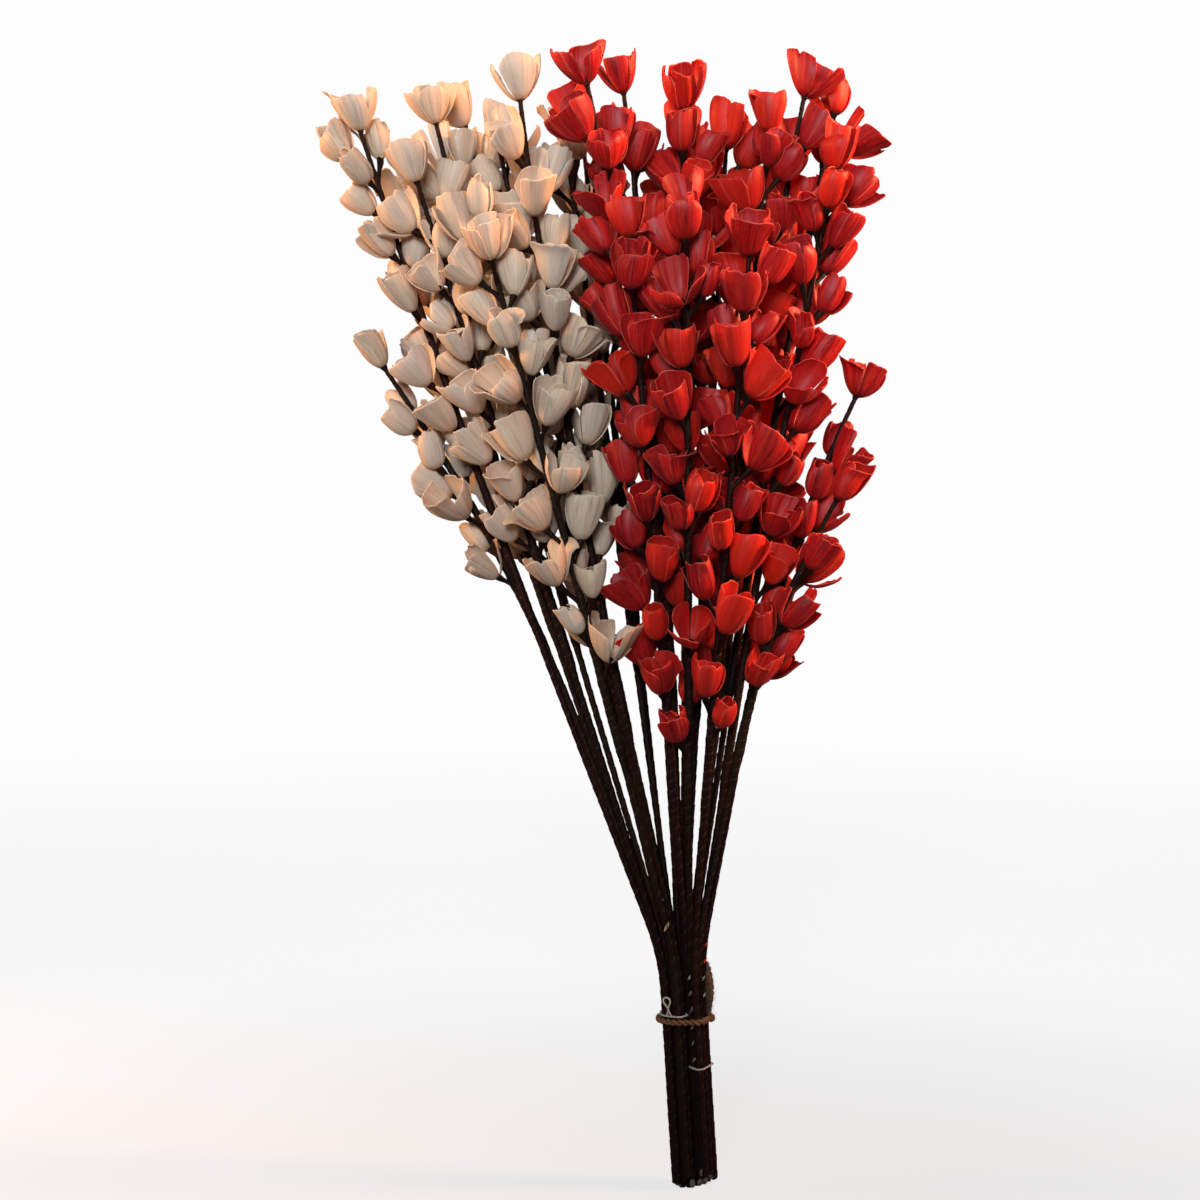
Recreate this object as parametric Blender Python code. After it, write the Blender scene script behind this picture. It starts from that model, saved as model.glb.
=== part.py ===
"""Palm leaf flower bunch: tape-bound bamboo sticks in two colour groups, each stick
carrying a spray of small palm leaf flower heads, gathered at the foot by three ties.
Metres, +Z up, the cut stick ends on the plane Z = 0, the viewer on the -Y side."""
import math

import bmesh
import bpy
import numpy as np

for old in list(bpy.data.objects):
    bpy.data.objects.remove(old, do_unlink=True)

# ---------------------------------------------------------------- driving sizes
HEIGHT = 0.92            # cut ends to the highest petal, a 36 inch bunch
STICK_R = 0.0027         # taped bamboo stick, 5.4 mm across
STICK_GAP = 0.00035      # daylight between two sticks in the bundle
CHANNEL = 0.0040         # half the lane between the two colours, where their strings pass
LANE_TURN = 0.45         # the lane runs askew through the foot, by this angle (rad)
BUNDLE_LEAN = -0.060     # the tied foot leans this much in x for each metre of height
BUNDLE_X0 = -0.0020      # middle of the foot at height 0
BEND_Z0 = 0.1470         # the sticks run parallel up to here ...
BEND_LEN = 0.0800        # ... and have taken their own direction this much higher
CURL_Z0 = 0.36           # a few sticks curl outwards above here
DRAW = 0.145             # how far the straight stem is drawn up to clear the band
SOCKET_DEEP = 0.040      # how far a stick's top stands in the tape sleeve of its spray
SOCKET_IN_R = 0.0034     # inside of that sleeve
SOCKET_OUT_R = 0.0042    # outside of that sleeve
BAND_Z = 0.1366          # jute band
BAND_R = 0.0026          # thickness of the jute, halved
RED_STRING_Z = 0.0985    # string round the red sticks only
WHITE_STRING_Z = 0.1408  # string round the white sticks only, resting on the jute
STRING_R = 0.0008        # thickness of the strings, halved
TIE_GAP = 0.0004         # daylight between a tie and the sticks
FLOWERS = 446            # flower heads in all

# name, colour, tip x, tip y (minus is towards the viewer), tip z, lowest flower z (mm),
# outward curl (1/m), bare length under the tip flower (mm)
STICKS = [
    ("white_01", "w", -268, -15, 851, 500, 0.06, 22),
    ("white_02", "w", -220, -42, 806, 465, 0.00, 20),
    ("white_03", "w", -210, 12, 862, 485, 0.05, 30),
    ("white_04", "w", -190, 58, 868, 500, -0.04, 20),
    ("white_05", "w", -158, -8, 842, 445, 0.00, 24),
    ("white_06", "w", -138, -52, 868, 412, 0.10, 50),
    ("white_07", "w", -106, 34, 855, 470, 0.00, 18),
    ("white_08", "w", -92, 84, 850, 500, 0.00, 18),
    ("white_09", "w", -252, 8, 664, 480, -0.52, 30),
    ("white_10", "w", -166, -92, 770, 396, 0.00, 18),
    ("white_11", "w", -236, 66, 800, 490, 0.00, 18),
    ("red_01", "r", -86, -38, 884, 420, -0.18, 48),
    ("red_02", "r", -58, 30, 890, 420, -0.10, 60),
    ("red_03", "r", -10, -4, 870, 430, 0.00, 22),
    ("red_04", "r", 26, 44, 846, 420, 0.00, 18),
    ("red_05", "r", 58, -22, 848, 372, 0.00, 20),
    ("red_06", "r", 88, 6, 882, 420, 0.10, 40),
    ("red_07", "r", 114, 30, 872, 440, 0.06, 26),
    ("red_08", "r", 110, -36, 816, 368, 0.06, 20),
    ("red_09", "r", 130, 4, 640, 390, 0.50, 60),
    ("red_10", "r", 112, -34, 556, 375, 0.90, 66),
    ("red_11", "r", -8, -96, 775, 346, 0.00, 18),
    ("red_12", "r", 40, -92, 742, 350, 0.00, 18),
    ("red_13", "r", -52, -84, 756, 352, 0.00, 18),
    ("red_14", "r", 2, 92, 842, 440, 0.00, 18),
    ("red_15", "r", 78, 84, 815, 430, 0.00, 18),
    ("red_16", "r", -44, 0, 822, 590, 0.00, 18),
]
LOOSE = "red_16"         # the one straight stem, free to be drawn up out of the ties


# ---------------------------------------------------------------- the sticks' lines
def smooth_ramp(z):
    """How far a bent stick has moved towards its own direction, per unit of slope."""
    t = np.clip((np.asarray(z, float) - BEND_Z0) / BEND_LEN, 0, 1)
    return BEND_LEN * (t ** 3 - t ** 4 / 2) + np.maximum(np.asarray(z, float) - BEND_Z0 - BEND_LEN, 0)


def lean(z):
    return BUNDLE_X0 + BUNDLE_LEAN * np.asarray(z, float)


def spread_apart(p, white, near, times):
    normal = np.array([math.cos(LANE_TURN), math.sin(LANE_TURN)])
    for _ in range(times):
        d = p[:, None] - p[None]
        r = np.sqrt((d ** 2).sum(-1)) + np.eye(len(p))
        over = np.maximum(near - r, 0) * (1 - np.eye(len(p)))
        p += 0.5 * (d / r[..., None] * over[..., None]).sum(1)
        side = p @ normal
        p[white] -= np.maximum(side[white] + CHANNEL, 0)[:, None] * normal
        p[~white] += np.maximum(CHANNEL - side[~white], 0)[:, None] * normal


def pack_foot():
    """Where each stick stands in the tied foot: the fan shrunk to the bundle, then pushed
    apart until no two sticks touch, the two colours either side of a lane."""
    tips = np.array([[s[2], s[3]] for s in STICKS], float) / 1000
    white = np.array([s[1] == "w" for s in STICKS])
    rng = np.random.RandomState(5)
    p = np.zeros_like(tips)
    for flag, centre in ((True, (-0.0105, 0.0)), (False, (0.0095, 0.0))):
        g = tips[white == flag]
        high = np.array([s[4] for s in STICKS], float)[white == flag] / 1000
        slope = (g - g.mean(0)) / (high[:, None] - 0.17) * 0.7
        size = 0.011 if flag else 0.014
        p[white == flag] = slope / np.abs(slope).max(0) * size * np.array([0.75, 1.0]) + centre
    p += rng.uniform(-1e-4, 1e-4, p.shape)
    near = 2 * STICK_R + STICK_GAP
    for step in range(2500):
        p -= (0.004 if step < 1700 else 0.0005) * p
        spread_apart(p, white, near, 3)
    spread_apart(p, white, near, 400)
    return p


class Stick:
    """One stick's line: parallel to its neighbours in the foot, bent over the ties, then
    straight or slightly curled up to its tip."""

    def __init__(self, row, foot, index):
        self.name, self.colour, self.index = row[0], row[1], index
        self.tip_z, self.low_z, self.bare = row[4] / 1000, row[5] / 1000, row[7] / 1000
        self.foot = np.array(foot, float)
        self.curl = row[6]
        self.loose = self.name == LOOSE
        if self.loose:
            self.curl, self.slope = 0.0, np.zeros(2)
        else:
            gone = lean(self.tip_z) + self.curl * max(0, self.tip_z - CURL_Z0) ** 2
            rest = np.array([row[2], row[3]], float) / 1000 - self.foot - np.array([gone, 0])
            self.slope = rest / smooth_ramp(self.tip_z)
        self.foot_z = 0.0
        self.joint_z = self.low_z - 0.012      # top of the bamboo, inside the spray's sleeve

    def at(self, z):
        z = np.asarray(z, float)
        x = self.foot[0] + lean(z) + self.slope[0] * smooth_ramp(z) + self.curl * np.maximum(z - CURL_Z0, 0) ** 2
        y = self.foot[1] + self.slope[1] * smooth_ramp(z)
        return np.stack([x, y, z + 0 * x], -1)

    def along(self, z):
        d = self.at(z + 1e-4) - self.at(z - 1e-4)
        return d / np.linalg.norm(d, axis=-1, keepdims=True)

    def stem_r(self, z):
        """Radius of the tape-bound stem in the flowering part."""
        t = np.clip((np.asarray(z, float) - self.joint_z) / (self.tip_z - self.joint_z), 0, 1)
        return 0.0036 - 0.0019 * t


def make_sticks():
    feet = pack_foot()
    sticks = [Stick(row, feet[i], i) for i, row in enumerate(STICKS)]
    rng = np.random.RandomState(11)
    for s in sticks:
        out = float(np.hypot(*s.foot))
        cut = float(rng.uniform(0.0, 0.010)) + 0.25 * (out - 0.0105)
        s.foot_z = 0.0 if out < 0.0105 else round(cut, 4)
    return sticks


# ---------------------------------------------------------------- where the flowers sit
BALLS = ((0.16, 0.44), (0.42, 0.84), (0.72, 1.08))     # share of length, share of radius
KINDS = {"bud": 0.31, "cup": 0.375, "open": 0.43}       # radius as a share of length
TWIG_R = 0.0019


def ball_set(base, axis, length, radius):
    """Centres and radii of the balls that hold a flower head."""
    c = np.stack([base + axis * (length * f)[..., None] for f, _ in BALLS], -2)
    r = np.stack([radius * k for _, k in BALLS], -1)
    return c, r


def to_line(points, a, b):
    """Distance from points (..., 3) to segments a-b (m, 3)."""
    ab = b - a
    t = np.clip(((points[..., None, :] - a) * ab).sum(-1) / ((ab ** 2).sum(-1) + 1e-18), 0, 1)
    return np.linalg.norm(points[..., None, :] - (a + t[..., None] * ab), axis=-1)


class Space:
    """What is placed already: stems, flower balls and twigs; those of the loose stem count
    along the whole way that it is drawn."""

    def __init__(self, sticks):
        a, b, r, who = [], [], [], []
        for s in sticks:
            zs = np.linspace(0.30, s.tip_z, 13)
            q = s.at(zs)
            for k in range(len(zs) - 1):
                a.append(q[k])
                b.append(q[k + 1])
                r.append(SOCKET_OUT_R if zs[k] < s.joint_z + 0.010 else float(s.stem_r(zs[k])))
                who.append(s.index)
            if s.loose:
                a.append(q[-1])
                b.append(q[-1] + s.along(s.tip_z) * DRAW)
                r.append(SOCKET_OUT_R)
                who.append(s.index)
        self.sa, self.sb, self.sr, self.sw = np.array(a), np.array(b), np.array(r), np.array(who)
        self.c = np.zeros((0, 3))
        self.e = np.zeros((0, 3))
        self.r = np.zeros(0)
        self.ta = np.zeros((0, 3))
        self.tb = np.zeros((0, 3))
        self.tz = np.zeros(0)
        self.tw = np.zeros(0, int)

    def clear(self, base, axis, length, radius, root, stick, sweep=None):
        """Least clearance of each candidate flower and its twig, in metres."""
        c, r = ball_set(base, axis, length, radius)
        gap = np.full(len(base), 1.0)
        mid, far = root.mean(0), 0.105 + (0 if sweep is None else DRAW)
        near = to_line(mid, self.sa, self.sb) < far
        sa, sb, sr, sw = self.sa[near], self.sb[near], self.sr[near], self.sw[near]
        near = to_line(mid, self.c, self.e) < far
        fc, fe, fr = self.c[near], self.e[near], self.r[near]
        near = to_line(mid, self.ta, self.tb) < far
        ta, tb, tz, tw = self.ta[near], self.tb[near], self.tz[near], self.tw[near]
        shifts = [np.zeros(3)] if sweep is None else [sweep * k / 28 for k in range(29)]
        for k, shift in enumerate(shifts):
            here = slice(None) if k == 0 else sw != stick
            gap = np.minimum(gap, (to_line(c + shift, sa[here], sb[here]) - sr[here] - r[..., None]).min((-1, -2)))
            if len(fc):
                gap = np.minimum(gap, (to_line(c + shift, fc, fe) - fr - r[..., None]).min((-1, -2)))
            if len(ta):
                gap = np.minimum(gap, (to_line(c + shift, ta, tb) - TWIG_R - r[..., None]).min((-1, -2)))
            other = sw != stick
            for share in (0.4, 0.7, 1.0):
                q = root + (base - root) * share + shift
                if other.any():
                    gap = np.minimum(gap, (to_line(q, sa[other], sb[other]) - sr[other] - TWIG_R).min(-1))
                if len(fc):
                    gap = np.minimum(gap, (to_line(q, fc, fe) - fr - TWIG_R).min(-1))
                if len(ta):
                    gap = np.minimum(gap, (to_line(q, ta, tb) - 2 * TWIG_R).min(-1))
        same = tw == stick
        if same.any():
            level = np.abs(root[:, 2][:, None] - tz[same]).min(-1)
            gap = np.where(level < 0.0060, -1, gap)
        return gap

    def add(self, base, axis, length, radius, root, stick, sweep=None):
        c, r = ball_set(base[None], axis[None], np.array([length]), np.array([radius]))
        end = np.zeros(3) if sweep is None else sweep
        self.c = np.vstack([self.c, c[0]])
        self.r = np.append(self.r, r[0])
        self.e = np.vstack([self.e, c[0] + end])
        for k in range(1 if sweep is None else 15):
            shift = end * k / 14
            self.ta = np.vstack([self.ta, root + 0.15 * (base - root) + shift])
            self.tb = np.vstack([self.tb, base + shift])
            self.tz = np.append(self.tz, root[2])
            self.tw = np.append(self.tw, stick)


def place_flowers(sticks):
    """Every flower head: its stick, where its twig leaves the stem, its base, axis, length,
    radius and kind. Nothing touches anything else, and the loose stem can rise past the rest."""
    rng = np.random.RandomState(23)
    space = Space(sticks)
    flowers = []
    order = sorted(sticks, key=lambda s: not s.loose)

    def keep(s, root, base, axis, length, kind, tip):
        radius = KINDS[kind] * length
        sweep = s.along(s.tip_z) * DRAW if s.loose else None
        space.add(base, axis, length, radius, root, s.index, sweep)
        flowers.append(dict(stick=s.index, root=root, base=base, axis=axis, length=length, radius=radius,
                            kind=kind, tip=tip, seed=len(flowers)))

    for s in order:                                  # the flower on each tip first
        t = s.along(s.tip_z)
        for attempt in range(80):
            axis = t + rng.normal(0, 0.22, 3) * np.array([1, 1, 0.3]) + np.array([0, -0.10, 0.15])
            axis /= np.linalg.norm(axis)
            kind = ("cup", "open", "bud")[rng.choice(3, p=(0.5, 0.35, 0.15))]
            length = rng.uniform(0.031, 0.039)
            base = s.at(s.tip_z) + t * 0.001
            c, r = ball_set(base[None], axis[None], np.array([length]), np.array([KINDS[kind] * length]))
            other = space.sw != s.index
            d = 1.0
            for shift in ([k / 28 * DRAW * t for k in range(29)] if s.loose else [np.zeros(3)]):
                q = c[0] + shift
                d = min(d, (to_line(q, space.sa[other], space.sb[other]) - space.sr[other] - r[0][:, None]).min())
                if len(space.c):
                    d = min(d, (to_line(q, space.c, space.e) - space.r - r[0][:, None]).min())
            if d > 0.001 and base[2] + axis[2] * length < HEIGHT - 0.004:
                break
        keep(s, s.at(s.tip_z - 0.004), base, axis, length, kind, True)

    centre = {c: np.mean([s.at(0.62)[:2] for s in sticks if s.colour == c], 0) for c in "wr"}
    todo = []
    for s in order:
        span = s.tip_z - s.bare - s.low_z
        n = max(2, int(round(span / 0.0235)))
        for k in range(n):
            z = s.tip_z - s.bare - span * (k + 0.3) / n
            todo.append((0 if s.loose else 1, k + rng.uniform(0, 0.5), s.index, z))
    todo.sort()
    tries = 170
    turn = {s.index: rng.uniform(0, 2 * math.pi) for s in sticks}
    for lap in range(4):
        for _, _, i, z0 in todo:
            if len(flowers) >= FLOWERS:
                break
            s = sticks[i]
            z = np.clip(z0 + rng.uniform(-0.013, 0.013, tries) * (1 + lap), s.low_z, s.tip_z - s.bare)
            turn[i] += 2.4
            psi = turn[i] + rng.normal(0, 1.3 if lap == 0 else 3.0, tries)
            alpha = np.radians(rng.uniform(16, 44, tries))
            beta = alpha * rng.uniform(-0.05, 0.85, tries)
            twig = rng.uniform(0.012, 0.027, tries)
            kind = ("cup", "open", "bud")[rng.choice(3, p=(0.54, 0.26, 0.20))]
            length = rng.uniform(0.0300, 0.0385, tries) * (0.92 if kind == "bud" else 1.0) * (0.86 if lap > 1 else 1.0)
            radius = length * KINDS[kind]
            root = s.at(z)
            t = s.along(z)
            a = np.cross(t, [0.0, 1.0, 0.0])
            a /= np.linalg.norm(a, axis=-1, keepdims=True)
            b = np.cross(t, a)
            e = a * np.cos(psi)[:, None] + b * np.sin(psi)[:, None]
            base = root + twig[:, None] * (np.cos(alpha)[:, None] * t + np.sin(alpha)[:, None] * e)
            axis = np.cos(beta)[:, None] * t + np.sin(beta)[:, None] * e
            axis = axis + rng.normal(0, 0.10, (tries, 3)) + np.array([0, 0, 0.22])
            axis /= np.linalg.norm(axis, axis=-1, keepdims=True)
            sweep = s.along(s.tip_z) * DRAW if s.loose else None
            gap = space.clear(base, axis, length, radius, root, i, sweep)
            top = base + axis * length[:, None]
            ok = (gap > 0.0010) & (top[:, 2] < HEIGHT - 0.006) & (base[:, 2] > s.low_z - 0.002)
            if not ok.any():
                continue
            away = base[:, :2] - centre[s.colour]
            away /= np.linalg.norm(away, axis=-1, keepdims=True) + 1e-9
            score = 0.5 * (e[:, :2] * away).sum(-1) + rng.uniform(0, 1.1, tries) - 0.25 * np.abs(z - z0) / 0.013
            score += (length - 0.030) / 0.004 * 0.3 - (twig - 0.012) / 0.015 * 0.5
            score[~ok] = -99
            k = int(score.argmax())
            keep(s, root[k], base[k], axis[k], float(length[k]), kind, False)
    return flowers


# ---------------------------------------------------------------- mesh helpers
class Shell:
    """One closed surface, put together from rings of corners."""

    def __init__(self):
        self.verts, self.faces = [], []

    def ring(self, centre, u, v, radius, n, turn=0.0):
        ids = []
        for k in range(n):
            w = turn + 2 * math.pi * k / n
            ids.append(self.point(centre + radius * (math.cos(w) * u + math.sin(w) * v)))
        return ids

    def point(self, p):
        self.verts.append(tuple(float(x) for x in p))
        return len(self.verts) - 1

    def bridge(self, a, b, skip=()):
        """Faces between two rings, the first one below the second, either of any count."""
        n, m = len(a), len(b)
        if n == m:
            for k in range(n):
                if k not in skip:
                    self.faces.append((a[k], a[(k + 1) % n], b[(k + 1) % n], b[k]))
            return
        i = j = 0
        while i < n or j < m:
            if j >= m or (i < n and (i + 1) / n <= (j + 1) / m):
                self.faces.append((a[i % n], a[(i + 1) % n], b[j % m]))
                i += 1
            else:
                self.faces.append((a[i % n], b[(j + 1) % m], b[j % m]))
                j += 1

    def cap(self, ring, up=True):
        self.faces.append(tuple(ring) if up else tuple(reversed(ring)))


def unit(v):
    return v / np.linalg.norm(v)


def across(t):
    """Two unit directions across t, turning anticlockwise seen from its head."""
    a = unit(np.cross(np.array([0.0, 1.0, 0.0]), t))
    return a, np.cross(t, a)


def make_object(name, shell, colour, roughness):
    mesh = bpy.data.meshes.new(name)
    mesh.from_pydata(shell.verts, [], shell.faces)
    mesh.validate()
    bm = bmesh.new()
    bm.from_mesh(mesh)
    bmesh.ops.triangulate(bm, faces=bm.faces[:])
    bmesh.ops.recalc_face_normals(bm, faces=bm.faces[:])
    bm.to_mesh(mesh)
    bm.free()
    for p in mesh.polygons:
        p.use_smooth = True
    mat = bpy.data.materials.new(name + "_mat")
    mat.use_nodes = True
    bsdf = mat.node_tree.nodes["Principled BSDF"]
    bsdf.inputs["Base Color"].default_value = (*colour, 1)
    bsdf.inputs["Roughness"].default_value = roughness
    bsdf.inputs["Metallic"].default_value = 0.0
    mesh.materials.append(mat)
    ob = bpy.data.objects.new(name, mesh)
    bpy.context.scene.collection.objects.link(ob)
    return ob


def set_origin(ob, point):
    """Put the object's own origin on a world point without moving its surface."""
    for v in ob.data.vertices:
        v.co = (v.co[0] - point[0], v.co[1] - point[1], v.co[2] - point[2])
    ob.location = point


# ---------------------------------------------------------------- sticks
def build_stick(s):
    sh = Shell()
    zs = [s.foot_z, BEND_Z0] + [BEND_Z0 + BEND_LEN * k / 4 for k in (1, 2, 3, 4)]
    if s.curl:
        zs += list(np.arange(CURL_Z0, s.joint_z - 0.006, 0.02))
    zs.append(s.joint_z)
    if s.loose:
        zs = [s.foot_z, s.joint_z]
    rings = []
    for k, z in enumerate(zs):
        if k == 0:
            u, v = np.array([1.0, 0, 0]), np.array([0, 1.0, 0])      # ends cut square to the ground
        else:
            u, v = across(s.along(z))
        rings.append(sh.ring(s.at(z), u, v, STICK_R, 6))
    for a, b in zip(rings, rings[1:]):
        sh.bridge(a, b)
    sh.cap(rings[0], False)
    sh.cap(rings[-1])
    tone = 0.020 if s.colour == "r" else 0.024
    ob = make_object("%s_stick_%s" % (("red", "white")[s.colour == "w"], s.name[-2:]), sh, (tone, tone * 0.6, tone * 0.5), 0.55)
    if s.loose:
        set_origin(ob, tuple(float(x) for x in s.at(0.0)))
    return ob


# ---------------------------------------------------------------- sprays
PROFILE = {          # share of length, share of radius; then how deep the cup is open
    "cup": (((0.50, 0.92), (0.94, 0.94)), 0.46),
    "open": (((0.52, 0.74), (0.93, 0.96)), 0.40),
    "bud": (((0.46, 1.00), (0.96, 0.40)), None),
}


def flower_head(sh, ring, base, axis, u, v, f):
    """Grow a cup of four petals from the ring at its base."""
    rings, deep = PROFILE[f["kind"]]
    last = ring
    for share, wide in rings:
        c = base + axis * f["length"] * share
        now = [sh.point(c + f["radius"] * wide * (a * u + b * v) / math.sqrt(2)) for a, b in ((-1, -1), (1, -1), (1, 1), (-1, 1))]
        sh.bridge(last, now)
        last = now
    if deep is None:
        sh.cap(last)
    else:
        mid = sh.point(base + axis * f["length"] * deep)
        for k in range(4):
            sh.faces.append((last[k], last[(k + 1) % 4], mid))


def build_spray(s, flowers):
    sh = Shell()
    mine = sorted([f for f in flowers if f["stick"] == s.index and not f["tip"]], key=lambda f: f["root"][2])
    tip = [f for f in flowers if f["stick"] == s.index and f["tip"]][0]
    bottom, seat, shoulder = s.joint_z - SOCKET_DEEP, s.joint_z + 0.0006, s.joint_z + 0.003
    steps = [bottom, seat] if not s.curl else list(np.linspace(bottom, seat, 4))
    outer, inner = [], []
    for z in steps:
        u, v = across(s.along(z))
        outer.append(sh.ring(s.at(z), u, v, SOCKET_OUT_R, 6))
        inner.append(sh.ring(s.at(z), u, v, SOCKET_IN_R, 6))
    sh.bridge(inner[0], outer[0])                                   # the mouth of the sleeve
    for a, b in zip(outer, outer[1:]):
        sh.bridge(a, b)
    for a, b in zip(inner, inner[1:]):
        sh.bridge(b, a)
    sh.cap(inner[-1], False)
    u, v = across(s.along(shoulder))
    turn = math.pi / 4
    now = sh.ring(s.at(shoulder), u, v, float(s.stem_r(shoulder)), 4, turn)
    sh.bridge(outer[-1], now)
    last = now
    level = shoulder
    curl_z = [z for z in np.arange(CURL_Z0, s.tip_z - 0.02, 0.05)] if s.curl else []
    for f in mine:
        z = float(f["root"][2])
        t = s.along(z)
        u, v = across(t)
        out = f["base"] - f["root"]
        psi = math.atan2(float(out @ v), float(out @ u))
        # turn the square so that one of its faces looks along the twig, as little as possible
        quarter = math.pi / 2
        face = psi                                                   # face centre wanted here
        k = round((turn + quarter / 2 - face) / quarter)
        turn = face + k * quarter - quarter / 2
        half = 0.0016
        for zc in curl_z:
            if level + 0.004 < zc < z - half - 0.004:
                uu, vv = across(s.along(zc))
                mid = sh.ring(s.at(zc), uu, vv, float(s.stem_r(zc)), 4, turn)
                sh.bridge(last, mid)
                last = mid
        low = sh.ring(s.at(z - half), u, v, float(s.stem_r(z)), 4, turn)
        high = sh.ring(s.at(z + half), u, v, float(s.stem_r(z)), 4, turn)
        sh.bridge(last, low)
        # which face looks along the twig
        w = [(math.cos(turn + quarter / 2 + q * quarter - psi), q) for q in range(4)]
        q = max(w)[1]
        sh.bridge(low, high, skip=(q,))
        i, j = q, (q + 1) % 4
        root = [low[i], low[j], high[j], high[i]]
        side = unit(np.cross(t, unit(out - (out @ t) * t)))
        lift = unit(np.cross(f["axis"], side))
        side = np.cross(lift, f["axis"])
        neck = [sh.point(f["base"] + 0.0019 * (a * side + b * lift) / math.sqrt(2)) for a, b in ((-1, -1), (1, -1), (1, 1), (-1, 1))]
        sh.bridge(root, neck)
        flower_head(sh, neck, f["base"], f["axis"], side, lift, f)
        last, level = high, z + half
    # the stem runs on into the flower at its tip
    z = s.tip_z
    for zc in curl_z:
        if level + 0.004 < zc < z - 0.006:
            uu, vv = across(s.along(zc))
            mid = sh.ring(s.at(zc), uu, vv, float(s.stem_r(zc)), 4, turn)
            sh.bridge(last, mid)
            last = mid
    u, v = across(s.along(z))
    neck = sh.ring(s.at(z), u, v, 0.0019, 4, turn)
    sh.bridge(last, neck)
    w = turn + math.pi / 4 + math.pi            # corner k of the ring is at turn + k * 90 degrees
    side = math.cos(w - math.pi) * u + math.sin(w - math.pi) * v
    side = unit(side - (side @ tip["axis"]) * tip["axis"])
    lift = np.cross(tip["axis"], side)
    order = [neck[2], neck[3], neck[0], neck[1]]
    flower_head(sh, order, tip["base"], tip["axis"], side, lift, tip)
    colour = (0.62, 0.52, 0.40) if s.colour == "w" else (0.42, 0.018, 0.020)
    ob = make_object("%s_spray_%s" % (("red", "white")[s.colour == "w"], s.name[-2:]), sh, colour, 0.6)
    if s.loose:
        set_origin(ob, tuple(float(x) for x in s.at(0.0)))
    return ob


# ---------------------------------------------------------------- ties
def hug(points, offset, n):
    """A closed line round a set of points in the plane, this far outside them."""
    line = []
    for k in range(n):
        w = 2 * math.pi * (k + 0.5) / n
        d = np.array([math.cos(w), math.sin(w)])
        line.append(points[int((points @ d).argmax())] + offset * d)
    return np.array(line)


def tube(points, radius, n, ref):
    """A round cord along a closed line of points that lies in a plane, whose normal is ref."""
    sh = Shell()
    m = len(points)
    rings = []
    for k in range(m):
        t = unit(points[(k + 1) % m] - points[k - 1])
        u = unit(np.cross(ref, t))
        rings.append(sh.ring(points[k], u, np.cross(t, u), radius, n, math.pi / n))
    for k in range(m):
        sh.bridge(rings[k], rings[(k + 1) % m])
    return sh


def foot_ring(sticks, colours, z, radius, n):
    pts = np.array([s.foot + np.array([float(lean(z)), 0]) for s in sticks if s.colour in colours])
    line = hug(pts, STICK_R + TIE_GAP + radius, n)
    return np.column_stack([line, np.full(len(line), z)])


def loop_line(foot_point, out, up, foot_r, head_r, height, n):
    """A drop-shaped loop standing on a point: the outline of a small circle below a large one."""
    pts = []
    for k in range(n):
        w = 2 * math.pi * (k + 0.5) / n
        d = np.array([math.sin(w), -math.cos(w)])
        rims = [(np.array([0.0, foot_r]), foot_r), (np.array([0.0, height - head_r]), head_r)]
        c, r = max(rims, key=lambda q: float(q[0] @ d) + q[1])
        q = c + r * d
        pts.append(foot_point + out * q[0] + up * q[1])
    return np.array(pts)


sticks = make_sticks()
flowers = place_flowers(sticks)
for s in sticks:
    build_stick(s)
for s in sticks:
    build_spray(s, flowers)

UP = np.array([0.0, 0.0, 1.0])
band_line = foot_ring(sticks, "wr", BAND_Z, BAND_R, 30)
band = make_object("jute_band", tube(band_line, BAND_R, 6, UP), (0.155, 0.055, 0.022), 0.9)
white_line = foot_ring(sticks, "w", WHITE_STRING_Z, STRING_R, 26)
white_tie = make_object("white_group_string", tube(white_line, STRING_R, 5, UP), (0.60, 0.56, 0.48), 0.85)
red_line = foot_ring(sticks, "r", RED_STRING_Z, STRING_R, 26)
red_tie = make_object("red_group_string", tube(red_line, STRING_R, 5, UP), (0.60, 0.56, 0.48), 0.85)

# the jute's bow stands on the band at the right and leans on the outermost sticks
right = band_line[int(band_line[:, 0].argmax())]
side_x = max(float(s.at(0.182)[0]) for s in sticks if abs(s.foot[1]) < 0.009)
bow_foot = np.array([right[0] + 0.0008, -0.002, BAND_Z + BAND_R + 0.0026])
bow_up = unit(np.array([(side_x + 0.0080) - bow_foot[0], -0.003, 0.046]))
bow_out = unit(np.array([0.50, -1.0, 0.0]) - bow_up * float(np.array([0.50, -1.0, 0.0]) @ bow_up))
bow_line = loop_line(bow_foot, bow_out, bow_up, 0.0031, 0.0056, 0.044, 18)
bow = make_object("jute_bow", tube(bow_line, 0.0021, 6, np.cross(bow_out, bow_up)), (0.15, 0.06, 0.024), 0.9)

# the white string's own small loop stands in front of the white sticks
front = white_line[int((white_line @ np.array([-0.30, -1.0, 0])).argmax())]
drop_foot = np.array([front[0] + 0.001, front[1] - 0.0005, WHITE_STRING_Z + 2 * STRING_R + 0.0005])
drop_out, drop_up = np.array([1.0, 0, 0]), unit(np.array([0.0, -0.25, 1.0]))
drop_line = loop_line(drop_foot, drop_out, drop_up, 0.0016, 0.0034, 0.0150, 16)
drop = make_object("white_string_loop", tube(drop_line, 0.0009, 5, np.cross(drop_out, drop_up)), (0.60, 0.56, 0.48), 0.85)

for ob, z in ((band, BAND_Z), (bow, BAND_Z), (white_tie, WHITE_STRING_Z), (drop, WHITE_STRING_Z), (red_tie, RED_STRING_Z)):
    set_origin(ob, (float(lean(z)), 0.0, z))
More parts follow.
